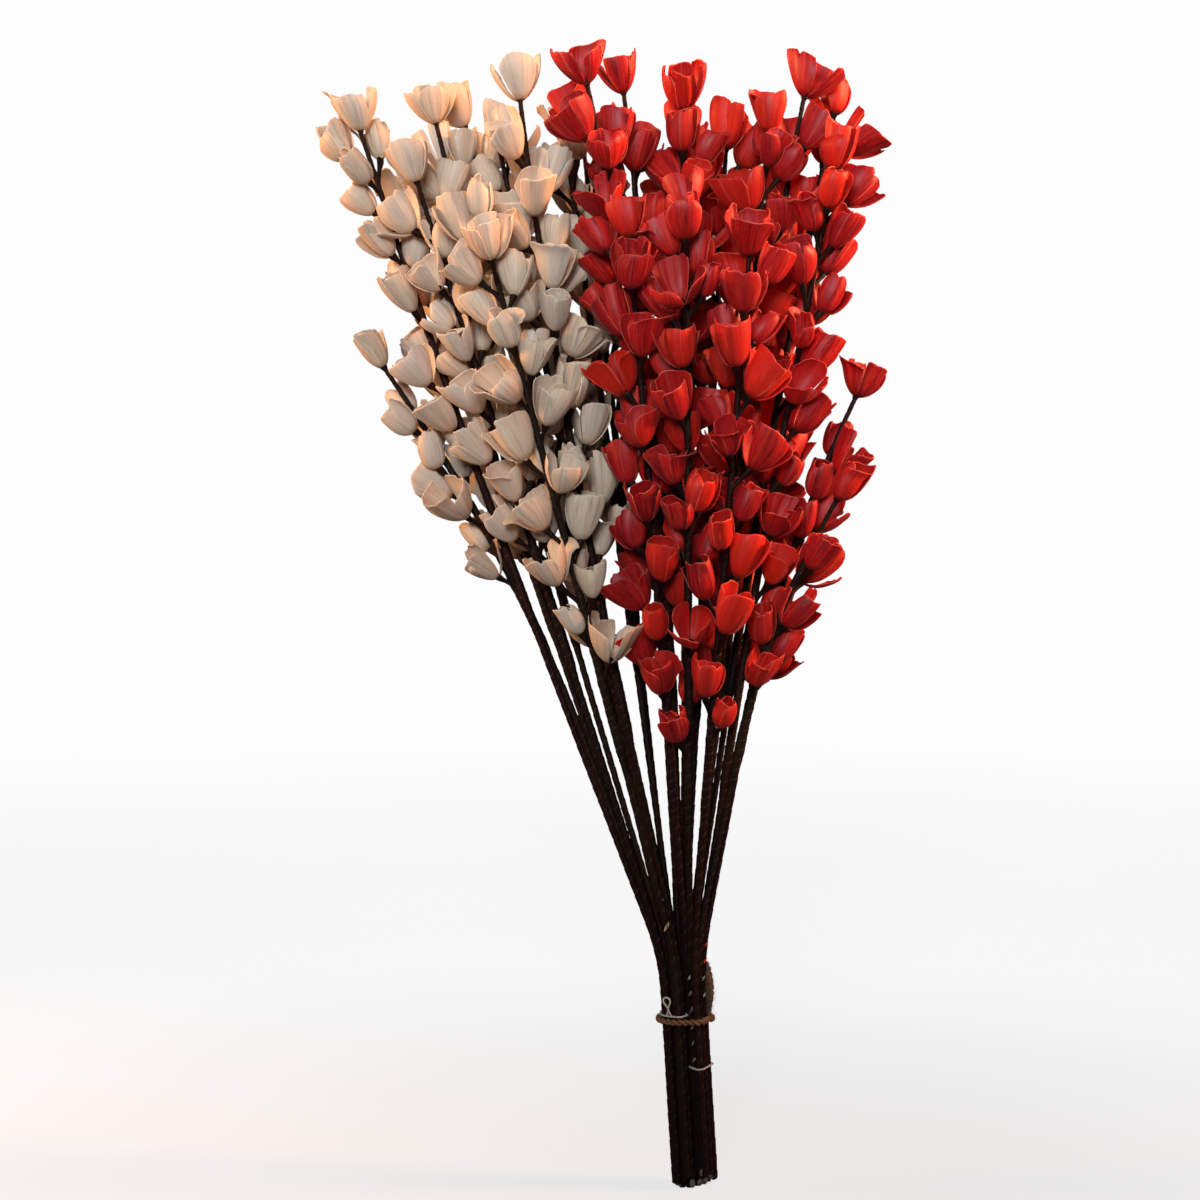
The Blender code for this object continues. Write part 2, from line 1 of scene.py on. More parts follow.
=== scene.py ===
"""Looks of the palm leaf flower bunch: tape-bound bamboo sticks in a cream and a red group,
each with a spray of small flowers of palm leaf petals, tied at the foot with jute twine and
two thin cotton strings. Metres, +Z up, the viewer on the -Y side."""

import math

import bmesh
import bpy
import numpy as np
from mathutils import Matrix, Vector


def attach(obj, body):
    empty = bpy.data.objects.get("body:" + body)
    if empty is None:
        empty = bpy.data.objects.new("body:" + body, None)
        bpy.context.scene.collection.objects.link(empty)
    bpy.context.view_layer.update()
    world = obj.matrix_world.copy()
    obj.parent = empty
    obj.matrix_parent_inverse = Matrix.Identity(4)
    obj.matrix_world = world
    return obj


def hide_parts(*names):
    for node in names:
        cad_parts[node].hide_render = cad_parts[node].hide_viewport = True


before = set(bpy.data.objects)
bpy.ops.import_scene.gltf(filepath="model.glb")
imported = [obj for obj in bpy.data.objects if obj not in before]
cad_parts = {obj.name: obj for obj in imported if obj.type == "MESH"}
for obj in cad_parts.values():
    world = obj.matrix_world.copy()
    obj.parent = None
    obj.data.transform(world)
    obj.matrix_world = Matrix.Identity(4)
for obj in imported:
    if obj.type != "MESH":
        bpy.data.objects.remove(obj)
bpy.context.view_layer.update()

# ---------------------------------------------------------------- driving sizes
HEIGHT = 0.92            # cut ends to the highest petal, a 36 inch bunch
STICK_R = 0.0027         # taped bamboo stick, 5.4 mm across
STICK_GAP = 0.00035      # daylight between two sticks in the bundle
CHANNEL = 0.0040         # half the lane between the two colours, where their strings pass
LANE_TURN = 0.45         # the lane runs askew through the foot, by this angle (rad)
BUNDLE_LEAN = -0.060     # the tied foot leans this much in x for each metre of height
BUNDLE_X0 = -0.0020      # middle of the foot at height 0
BEND_Z0 = 0.1470         # the sticks run parallel up to here ...
BEND_LEN = 0.0800        # ... and have taken their own direction this much higher
CURL_Z0 = 0.36           # a few sticks curl outwards above here
DRAW = 0.145             # how far the straight stem is drawn up to clear the band
SOCKET_DEEP = 0.040      # how far a stick's top stands in the tape sleeve of its spray
SOCKET_IN_R = 0.0034     # inside of that sleeve
SOCKET_OUT_R = 0.0042    # outside of that sleeve
BAND_Z = 0.1366          # jute band
BAND_R = 0.0026          # thickness of the jute, halved
RED_STRING_Z = 0.0985    # string round the red sticks only
WHITE_STRING_Z = 0.1408  # string round the white sticks only, resting on the jute
STRING_R = 0.0008        # thickness of the strings, halved
TIE_GAP = 0.0004         # daylight between a tie and the sticks
FLOWERS = 446            # flower heads in all

# name, colour, tip x, tip y (minus is towards the viewer), tip z, lowest flower z (mm),
# outward curl (1/m), bare length under the tip flower (mm)
STICKS = [
    ("white_01", "w", -268, -15, 851, 500, 0.06, 22),
    ("white_02", "w", -220, -42, 806, 465, 0.00, 20),
    ("white_03", "w", -210, 12, 862, 485, 0.05, 30),
    ("white_04", "w", -190, 58, 868, 500, -0.04, 20),
    ("white_05", "w", -158, -8, 842, 445, 0.00, 24),
    ("white_06", "w", -138, -52, 868, 412, 0.10, 50),
    ("white_07", "w", -106, 34, 855, 470, 0.00, 18),
    ("white_08", "w", -92, 84, 850, 500, 0.00, 18),
    ("white_09", "w", -252, 8, 664, 480, -0.52, 30),
    ("white_10", "w", -166, -92, 770, 396, 0.00, 18),
    ("white_11", "w", -236, 66, 800, 490, 0.00, 18),
    ("red_01", "r", -86, -38, 884, 420, -0.18, 48),
    ("red_02", "r", -58, 30, 890, 420, -0.10, 60),
    ("red_03", "r", -10, -4, 870, 430, 0.00, 22),
    ("red_04", "r", 26, 44, 846, 420, 0.00, 18),
    ("red_05", "r", 58, -22, 848, 372, 0.00, 20),
    ("red_06", "r", 88, 6, 882, 420, 0.10, 40),
    ("red_07", "r", 114, 30, 872, 440, 0.06, 26),
    ("red_08", "r", 110, -36, 816, 368, 0.06, 20),
    ("red_09", "r", 130, 4, 640, 390, 0.50, 60),
    ("red_10", "r", 112, -34, 556, 375, 0.90, 66),
    ("red_11", "r", -8, -96, 775, 346, 0.00, 18),
    ("red_12", "r", 40, -92, 742, 350, 0.00, 18),
    ("red_13", "r", -52, -84, 756, 352, 0.00, 18),
    ("red_14", "r", 2, 92, 842, 440, 0.00, 18),
    ("red_15", "r", 78, 84, 815, 430, 0.00, 18),
    ("red_16", "r", -44, 0, 822, 590, 0.00, 18),
]
LOOSE = "red_16"         # the one straight stem, free to be drawn up out of the ties


# ---------------------------------------------------------------- the sticks' lines
def smooth_ramp(z):
    """How far a bent stick has moved towards its own direction, per unit of slope."""
    t = np.clip((np.asarray(z, float) - BEND_Z0) / BEND_LEN, 0, 1)
    return BEND_LEN * (t ** 3 - t ** 4 / 2) + np.maximum(np.asarray(z, float) - BEND_Z0 - BEND_LEN, 0)


def lean(z):
    return BUNDLE_X0 + BUNDLE_LEAN * np.asarray(z, float)


def spread_apart(p, white, near, times):
    normal = np.array([math.cos(LANE_TURN), math.sin(LANE_TURN)])
    for _ in range(times):
        d = p[:, None] - p[None]
        r = np.sqrt((d ** 2).sum(-1)) + np.eye(len(p))
        over = np.maximum(near - r, 0) * (1 - np.eye(len(p)))
        p += 0.5 * (d / r[..., None] * over[..., None]).sum(1)
        side = p @ normal
        p[white] -= np.maximum(side[white] + CHANNEL, 0)[:, None] * normal
        p[~white] += np.maximum(CHANNEL - side[~white], 0)[:, None] * normal


def pack_foot():
    """Where each stick stands in the tied foot: the fan shrunk to the bundle, then pushed
    apart until no two sticks touch, the two colours either side of a lane."""
    tips = np.array([[s[2], s[3]] for s in STICKS], float) / 1000
    white = np.array([s[1] == "w" for s in STICKS])
    rng = np.random.RandomState(5)
    p = np.zeros_like(tips)
    for flag, centre in ((True, (-0.0105, 0.0)), (False, (0.0095, 0.0))):
        g = tips[white == flag]
        high = np.array([s[4] for s in STICKS], float)[white == flag] / 1000
        slope = (g - g.mean(0)) / (high[:, None] - 0.17) * 0.7
        size = 0.011 if flag else 0.014
        p[white == flag] = slope / np.abs(slope).max(0) * size * np.array([0.75, 1.0]) + centre
    p += rng.uniform(-1e-4, 1e-4, p.shape)
    near = 2 * STICK_R + STICK_GAP
    for step in range(2500):
        p -= (0.004 if step < 1700 else 0.0005) * p
        spread_apart(p, white, near, 3)
    spread_apart(p, white, near, 400)
    return p


class Stick:
    """One stick's line: parallel to its neighbours in the foot, bent over the ties, then
    straight or slightly curled up to its tip."""

    def __init__(self, row, foot, index):
        self.name, self.colour, self.index = row[0], row[1], index
        self.tip_z, self.low_z, self.bare = row[4] / 1000, row[5] / 1000, row[7] / 1000
        self.foot = np.array(foot, float)
        self.curl = row[6]
        self.loose = self.name == LOOSE
        if self.loose:
            self.curl, self.slope = 0.0, np.zeros(2)
        else:
            gone = lean(self.tip_z) + self.curl * max(0, self.tip_z - CURL_Z0) ** 2
            rest = np.array([row[2], row[3]], float) / 1000 - self.foot - np.array([gone, 0])
            self.slope = rest / smooth_ramp(self.tip_z)
        self.foot_z = 0.0
        self.joint_z = self.low_z - 0.012      # top of the bamboo, inside the spray's sleeve

    def at(self, z):
        z = np.asarray(z, float)
        x = self.foot[0] + lean(z) + self.slope[0] * smooth_ramp(z) + self.curl * np.maximum(z - CURL_Z0, 0) ** 2
        y = self.foot[1] + self.slope[1] * smooth_ramp(z)
        return np.stack([x, y, z + 0 * x], -1)

    def along(self, z):
        d = self.at(z + 1e-4) - self.at(z - 1e-4)
        return d / np.linalg.norm(d, axis=-1, keepdims=True)

    def stem_r(self, z):
        """Radius of the tape-bound stem in the flowering part."""
        t = np.clip((np.asarray(z, float) - self.joint_z) / (self.tip_z - self.joint_z), 0, 1)
        return 0.0036 - 0.0019 * t


def make_sticks():
    feet = pack_foot()
    sticks = [Stick(row, feet[i], i) for i, row in enumerate(STICKS)]
    rng = np.random.RandomState(11)
    for s in sticks:
        out = float(np.hypot(*s.foot))
        cut = float(rng.uniform(0.0, 0.010)) + 0.25 * (out - 0.0105)
        s.foot_z = 0.0 if out < 0.0105 else round(cut, 4)
    return sticks


# ---------------------------------------------------------------- where the flowers sit
BALLS = ((0.16, 0.44), (0.42, 0.84), (0.72, 1.08))     # share of length, share of radius
KINDS = {"bud": 0.31, "cup": 0.375, "open": 0.43}       # radius as a share of length
TWIG_R = 0.0019


def ball_set(base, axis, length, radius):
    """Centres and radii of the balls that hold a flower head."""
    c = np.stack([base + axis * (length * f)[..., None] for f, _ in BALLS], -2)
    r = np.stack([radius * k for _, k in BALLS], -1)
    return c, r


def to_line(points, a, b):
    """Distance from points (..., 3) to segments a-b (m, 3)."""
    ab = b - a
    t = np.clip(((points[..., None, :] - a) * ab).sum(-1) / ((ab ** 2).sum(-1) + 1e-18), 0, 1)
    return np.linalg.norm(points[..., None, :] - (a + t[..., None] * ab), axis=-1)


class Space:
    """What is placed already: stems, flower balls and twigs; those of the loose stem count
    along the whole way that it is drawn."""

    def __init__(self, sticks):
        a, b, r, who = [], [], [], []
        for s in sticks:
            zs = np.linspace(0.30, s.tip_z, 13)
            q = s.at(zs)
            for k in range(len(zs) - 1):
                a.append(q[k])
                b.append(q[k + 1])
                r.append(SOCKET_OUT_R if zs[k] < s.joint_z + 0.010 else float(s.stem_r(zs[k])))
                who.append(s.index)
            if s.loose:
                a.append(q[-1])
                b.append(q[-1] + s.along(s.tip_z) * DRAW)
                r.append(SOCKET_OUT_R)
                who.append(s.index)
        self.sa, self.sb, self.sr, self.sw = np.array(a), np.array(b), np.array(r), np.array(who)
        self.c = np.zeros((0, 3))
        self.e = np.zeros((0, 3))
        self.r = np.zeros(0)
        self.ta = np.zeros((0, 3))
        self.tb = np.zeros((0, 3))
        self.tz = np.zeros(0)
        self.tw = np.zeros(0, int)

    def fits(self, base, axis, length, radius, root, stick, sweep=None):
        """Which candidate flowers stay at least 1 mm clear of everything, their twigs too."""
        c, r = ball_set(base, axis, length, radius)
        ok = np.ones(len(base), bool)
        mid, far = root.mean(0), 0.105 + (0 if sweep is None else DRAW)
        near = to_line(mid, self.sa, self.sb) < far
        sa, sb, sr, sw = self.sa[near], self.sb[near], self.sr[near], self.sw[near]
        near = to_line(mid, self.c, self.e) < far
        fc, fe, fr = self.c[near], self.e[near], self.r[near]
        near = to_line(mid, self.ta, self.tb) < far
        ta, tb, tz, tw = self.ta[near], self.tb[near], self.tz[near], self.tw[near]
        same = tw == stick
        if same.any():
            ok &= np.abs(root[:, 2][:, None] - tz[same]).min(-1) >= 0.0060
        shifts = [np.zeros(3)] if sweep is None else [sweep * k / 28 for k in range(29)]

        def cut(points, a, b, rad, own):
            left = np.flatnonzero(ok)
            if len(left) and len(a):
                d = to_line(points[left], a, b) - rad - own[left][..., None]
                ok[left] = d.reshape(len(left), -1).min(-1) > 0.0010

        twig_r = np.full(len(base), TWIG_R)
        for k, shift in enumerate(shifts):
            here = slice(None) if k == 0 else sw != stick
            cut(c + shift, fc, fe, fr, r)
            cut(c + shift, sa[here], sb[here], sr[here], r)
            cut(c + shift, ta, tb, TWIG_R, r)
            other = sw != stick
            for share in (0.4, 0.7, 1.0):
                q = root + (base - root) * share + shift
                cut(q, sa[other], sb[other], sr[other], twig_r)
                cut(q, fc, fe, fr, twig_r)
                cut(q, ta, tb, TWIG_R, twig_r)
        return ok

    def add(self, base, axis, length, radius, root, stick, sweep=None):
        c, r = ball_set(base[None], axis[None], np.array([length]), np.array([radius]))
        end = np.zeros(3) if sweep is None else sweep
        self.c = np.vstack([self.c, c[0]])
        self.r = np.append(self.r, r[0])
        self.e = np.vstack([self.e, c[0] + end])
        for k in range(1 if sweep is None else 15):
            shift = end * k / 14
            self.ta = np.vstack([self.ta, root + 0.15 * (base - root) + shift])
            self.tb = np.vstack([self.tb, base + shift])
            self.tz = np.append(self.tz, root[2])
            self.tw = np.append(self.tw, stick)


def place_flowers(sticks):
    """Every flower head: its stick, where its twig leaves the stem, its base, axis, length,
    radius and kind. Nothing touches anything else, and the loose stem can rise past the rest."""
    rng = np.random.RandomState(23)
    space = Space(sticks)
    flowers = []
    order = sorted(sticks, key=lambda s: not s.loose)

    def keep(s, root, base, axis, length, kind, tip):
        radius = KINDS[kind] * length
        sweep = s.along(s.tip_z) * DRAW if s.loose else None
        space.add(base, axis, length, radius, root, s.index, sweep)
        flowers.append(dict(stick=s.index, root=root, base=base, axis=axis, length=length, radius=radius,
                            kind=kind, tip=tip, seed=len(flowers)))

    for s in order:                                  # the flower on each tip first
        t = s.along(s.tip_z)
        for attempt in range(80):
            axis = t + rng.normal(0, 0.22, 3) * np.array([1, 1, 0.3]) + np.array([0, -0.10, 0.15])
            axis /= np.linalg.norm(axis)
            kind = ("cup", "open", "bud")[rng.choice(3, p=(0.5, 0.35, 0.15))]
            length = rng.uniform(0.031, 0.039)
            base = s.at(s.tip_z) + t * 0.001
            c, r = ball_set(base[None], axis[None], np.array([length]), np.array([KINDS[kind] * length]))
            other = space.sw != s.index
            d = 1.0
            for shift in ([k / 28 * DRAW * t for k in range(29)] if s.loose else [np.zeros(3)]):
                q = c[0] + shift
                d = min(d, (to_line(q, space.sa[other], space.sb[other]) - space.sr[other] - r[0][:, None]).min())
                if len(space.c):
                    d = min(d, (to_line(q, space.c, space.e) - space.r - r[0][:, None]).min())
            if d > 0.001 and base[2] + axis[2] * length < HEIGHT - 0.004:
                break
        keep(s, s.at(s.tip_z - 0.004), base, axis, length, kind, True)

    centre = {c: np.mean([s.at(0.62)[:2] for s in sticks if s.colour == c], 0) for c in "wr"}
    todo = []
    for s in order:
        span = s.tip_z - s.bare - s.low_z
        n = max(2, int(round(span / 0.0235)))
        for k in range(n):
            z = s.tip_z - s.bare - span * (k + 0.3) / n
            todo.append((0 if s.loose else 1, k + rng.uniform(0, 0.5), s.index, z))
    todo.sort()
    tries = 170
    turn = {s.index: rng.uniform(0, 2 * math.pi) for s in sticks}
    for lap in range(4):
        for _, _, i, z0 in todo:
            if len(flowers) >= FLOWERS:
                break
            s = sticks[i]
            z = np.clip(z0 + rng.uniform(-0.013, 0.013, tries) * (1 + lap), s.low_z, s.tip_z - s.bare)
            turn[i] += 2.4
            psi = turn[i] + rng.normal(0, 1.3 if lap == 0 else 3.0, tries)
            alpha = np.radians(rng.uniform(16, 44, tries))
            beta = alpha * rng.uniform(-0.05, 0.85, tries)
            twig = rng.uniform(0.012, 0.027, tries)
            kind = ("cup", "open", "bud")[rng.choice(3, p=(0.54, 0.26, 0.20))]
            length = rng.uniform(0.0300, 0.0385, tries) * (0.92 if kind == "bud" else 1.0) * (0.86 if lap > 1 else 1.0)
            radius = length * KINDS[kind]
            root = s.at(z)
            t = s.along(z)
            a = np.cross(t, [0.0, 1.0, 0.0])
            a /= np.linalg.norm(a, axis=-1, keepdims=True)
            b = np.cross(t, a)
            e = a * np.cos(psi)[:, None] + b * np.sin(psi)[:, None]
            base = root + twig[:, None] * (np.cos(alpha)[:, None] * t + np.sin(alpha)[:, None] * e)
            axis = np.cos(beta)[:, None] * t + np.sin(beta)[:, None] * e
            axis = axis + rng.normal(0, 0.10, (tries, 3)) + np.array([0, 0, 0.22])
            axis /= np.linalg.norm(axis, axis=-1, keepdims=True)
            sweep = s.along(s.tip_z) * DRAW if s.loose else None
            ok = space.fits(base, axis, length, radius, root, i, sweep)
            top = base + axis * length[:, None]
            ok &= (top[:, 2] < HEIGHT - 0.006) & (base[:, 2] > s.low_z - 0.002)
            if not ok.any():
                continue
            away = base[:, :2] - centre[s.colour]
            away /= np.linalg.norm(away, axis=-1, keepdims=True) + 1e-9
            score = 0.5 * (e[:, :2] * away).sum(-1) + rng.uniform(0, 1.1, tries) - 0.25 * np.abs(z - z0) / 0.013
            score += (length - 0.030) / 0.004 * 0.3 - (twig - 0.012) / 0.015 * 0.5
            score[~ok] = -99
            k = int(score.argmax())
            keep(s, root[k], base[k], axis[k], float(length[k]), kind, False)
    return flowers



def hug(points, offset, n):
    """A closed line round a set of points in the plane, this far outside them."""
    line = []
    for k in range(n):
        w = 2 * math.pi * (k + 0.5) / n
        d = np.array([math.cos(w), math.sin(w)])
        line.append(points[int((points @ d).argmax())] + offset * d)
    return np.array(line)


def foot_ring(sticks, colours, z, radius, n):
    pts = np.array([s.foot + np.array([float(lean(z)), 0]) for s in sticks if s.colour in colours])
    line = hug(pts, STICK_R + TIE_GAP + radius, n)
    return np.column_stack([line, np.full(len(line), z)])


def loop_line(foot_point, out, up, foot_r, head_r, height, n):
    """A drop-shaped loop standing on a point: the outline of a small circle below a large one."""
    pts = []
    for k in range(n):
        w = 2 * math.pi * (k + 0.5) / n
        d = np.array([math.sin(w), -math.cos(w)])
        rims = [(np.array([0.0, foot_r]), foot_r), (np.array([0.0, height - head_r]), head_r)]
        c, r = max(rims, key=lambda q: float(q[0] @ d) + q[1])
        q = c + r * d
        pts.append(foot_point + out * q[0] + up * q[1])
    return np.array(pts)




def unit(v):
    return v / np.linalg.norm(v)


def across(t):
    """Two unit directions across t, turning anticlockwise seen from its head."""
    a = unit(np.cross(np.array([0.0, 1.0, 0.0]), t))
    return a, np.cross(t, a)


def smooth01(x):
    x = np.clip(x, 0, 1)
    return x * x * (3 - 2 * x)


# ---------------------------------------------------------------- meshes
class Pile:
    """Vertices, faces, a material number per face and named values per vertex, put together
    from many small surfaces."""

    def __init__(self):
        self.v, self.f, self.m, self.a, self.n = [], [], [], {}, 0

    def add(self, verts, faces, mat=0, **values):
        verts = np.asarray(verts, float).reshape(-1, 3)
        for k in faces:
            self.f.append(tuple(int(i) + self.n for i in k))
        self.m += list(mat) if hasattr(mat, "__len__") else [mat] * len(faces)
        for name, value in values.items():
            value = np.asarray(value, float)
            if value.ndim == 0:
                value = np.full(len(verts), float(value))
            elif value.ndim == 1 and len(value) == 3 and len(verts) != 3:
                value = np.tile(value, (len(verts), 1))
            self.a.setdefault(name, []).append((self.n, value))
        self.v.append(verts)
        self.n += len(verts)

    def make(self, name, materials, merge=0.0):
        v = np.vstack(self.v)
        mesh = bpy.data.meshes.new(name)
        mesh.from_pydata(v.tolist(), [], self.f)
        for key, parts in self.a.items():
            wide = parts[0][1].ndim == 2
            full = np.zeros((len(v), 3) if wide else len(v), np.float32)
            for start, value in parts:
                full[start:start + len(value)] = value
            layer = mesh.attributes.new(key, "FLOAT_VECTOR" if wide else "FLOAT", "POINT")
            layer.data.foreach_set("vector" if wide else "value", full.ravel())
        mesh.polygons.foreach_set("material_index", np.array(self.m, np.int32))
        mesh.polygons.foreach_set("use_smooth", np.ones(len(self.f), bool))
        for m in materials:
            mesh.materials.append(m)
        if merge:
            bm = bmesh.new()
            bm.from_mesh(mesh)
            bmesh.ops.remove_doubles(bm, verts=bm.verts[:], dist=merge)
            bmesh.ops.dissolve_degenerate(bm, edges=bm.edges[:], dist=merge)
            bm.to_mesh(mesh)
            bm.free()
        mesh.update()
        ob = bpy.data.objects.new(name, mesh)
        bpy.context.scene.collection.objects.link(ob)
        return ob


def settle(ob, body, slot, *nodes):
    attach(ob, body)
    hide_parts(*nodes)
    return ob


# ---------------------------------------------------------------- materials
def tree(name):
    mat = bpy.data.materials.new(name)
    mat.use_nodes = True
    nt = mat.node_tree
    return mat, nt, nt.nodes["Principled BSDF"]


def link(nt, source, target):
    nt.links.new(source, target)


def attr(nt, name, out="Fac"):
    n = nt.nodes.new("ShaderNodeAttribute")
    n.attribute_name = name
    return n.outputs[out]


def calc(nt, op, a, b=None, c=None, clamp=False):
    n = nt.nodes.new("ShaderNodeMath")
    n.operation = op
    n.use_clamp = clamp
    for k, x in enumerate((a, b, c)):
        if x is None:
            continue
        if isinstance(x, (int, float)):
            n.inputs[k].default_value = x
        else:
            link(nt, x, n.inputs[k])
    return n.outputs[0]


def stretch(nt, vec, scale, shift=(0, 0, 0)):
    n = nt.nodes.new("ShaderNodeMapping")
    n.inputs["Scale"].default_value = scale
    n.inputs["Location"].default_value = shift
    link(nt, vec, n.inputs["Vector"])
    return n.outputs[0]


def noise(nt, vec, scale=1.0, detail=3.0, rough=0.55, distort=0.0):
    n = nt.nodes.new("ShaderNodeTexNoise")
    n.inputs["Scale"].default_value = scale
    n.inputs["Detail"].default_value = detail
    n.inputs["Roughness"].default_value = rough
    n.inputs["Distortion"].default_value = distort
    link(nt, vec, n.inputs["Vector"])
    return n.outputs[0]


def span(nt, value, lo, hi, to_lo=0.0, to_hi=1.0, smooth=True):
    n = nt.nodes.new("ShaderNodeMapRange")
    n.interpolation_type = "SMOOTHSTEP" if smooth else "LINEAR"
    n.clamp = True
    for k, x in zip(("From Min", "From Max", "To Min", "To Max"), (lo, hi, to_lo, to_hi)):
        n.inputs[k].default_value = x
    link(nt, value, n.inputs["Value"])
    return n.outputs[0]


def mix(nt, fac, a, b, how="MIX"):
    n = nt.nodes.new("ShaderNodeMix")
    n.data_type = "RGBA"
    n.blend_type = how
    n.clamp_factor = True
    for key, x in (("Factor_Float", fac), ("A_Color", a), ("B_Color", b)):
        sock = [s for s in n.inputs if s.identifier == key][0]
        if isinstance(x, tuple):
            sock.default_value = (*x, 1.0)
        elif isinstance(x, (int, float)):
            sock.default_value = x
        else:
            link(nt, x, sock)
    return [s for s in n.outputs if s.identifier == "Result_Color"][0]


def ramp(nt, value, stops):
    n = nt.nodes.new("ShaderNodeValToRGB")
    n.color_ramp.interpolation = "EASE"
    while len(n.color_ramp.elements) < len(stops):
        n.color_ramp.elements.new(0.5)
    for e, (p, c) in zip(n.color_ramp.elements, stops):
        e.position = p
        e.color = (*c, 1.0)
    link(nt, value, n.inputs[0])
    return n.outputs[0]


def bump(nt, bsdf, parts):
    """A chain of bumps: (height, strength, distance)."""
    last = None
    for height, strength, distance in parts:
        n = nt.nodes.new("ShaderNodeBump")
        n.inputs["Strength"].default_value = strength
        n.inputs["Distance"].default_value = distance
        link(nt, height, n.inputs["Height"])
        if last is not None:
            link(nt, last, n.inputs["Normal"])
        last = n.outputs[0]
    link(nt, last, bsdf.inputs["Normal"])


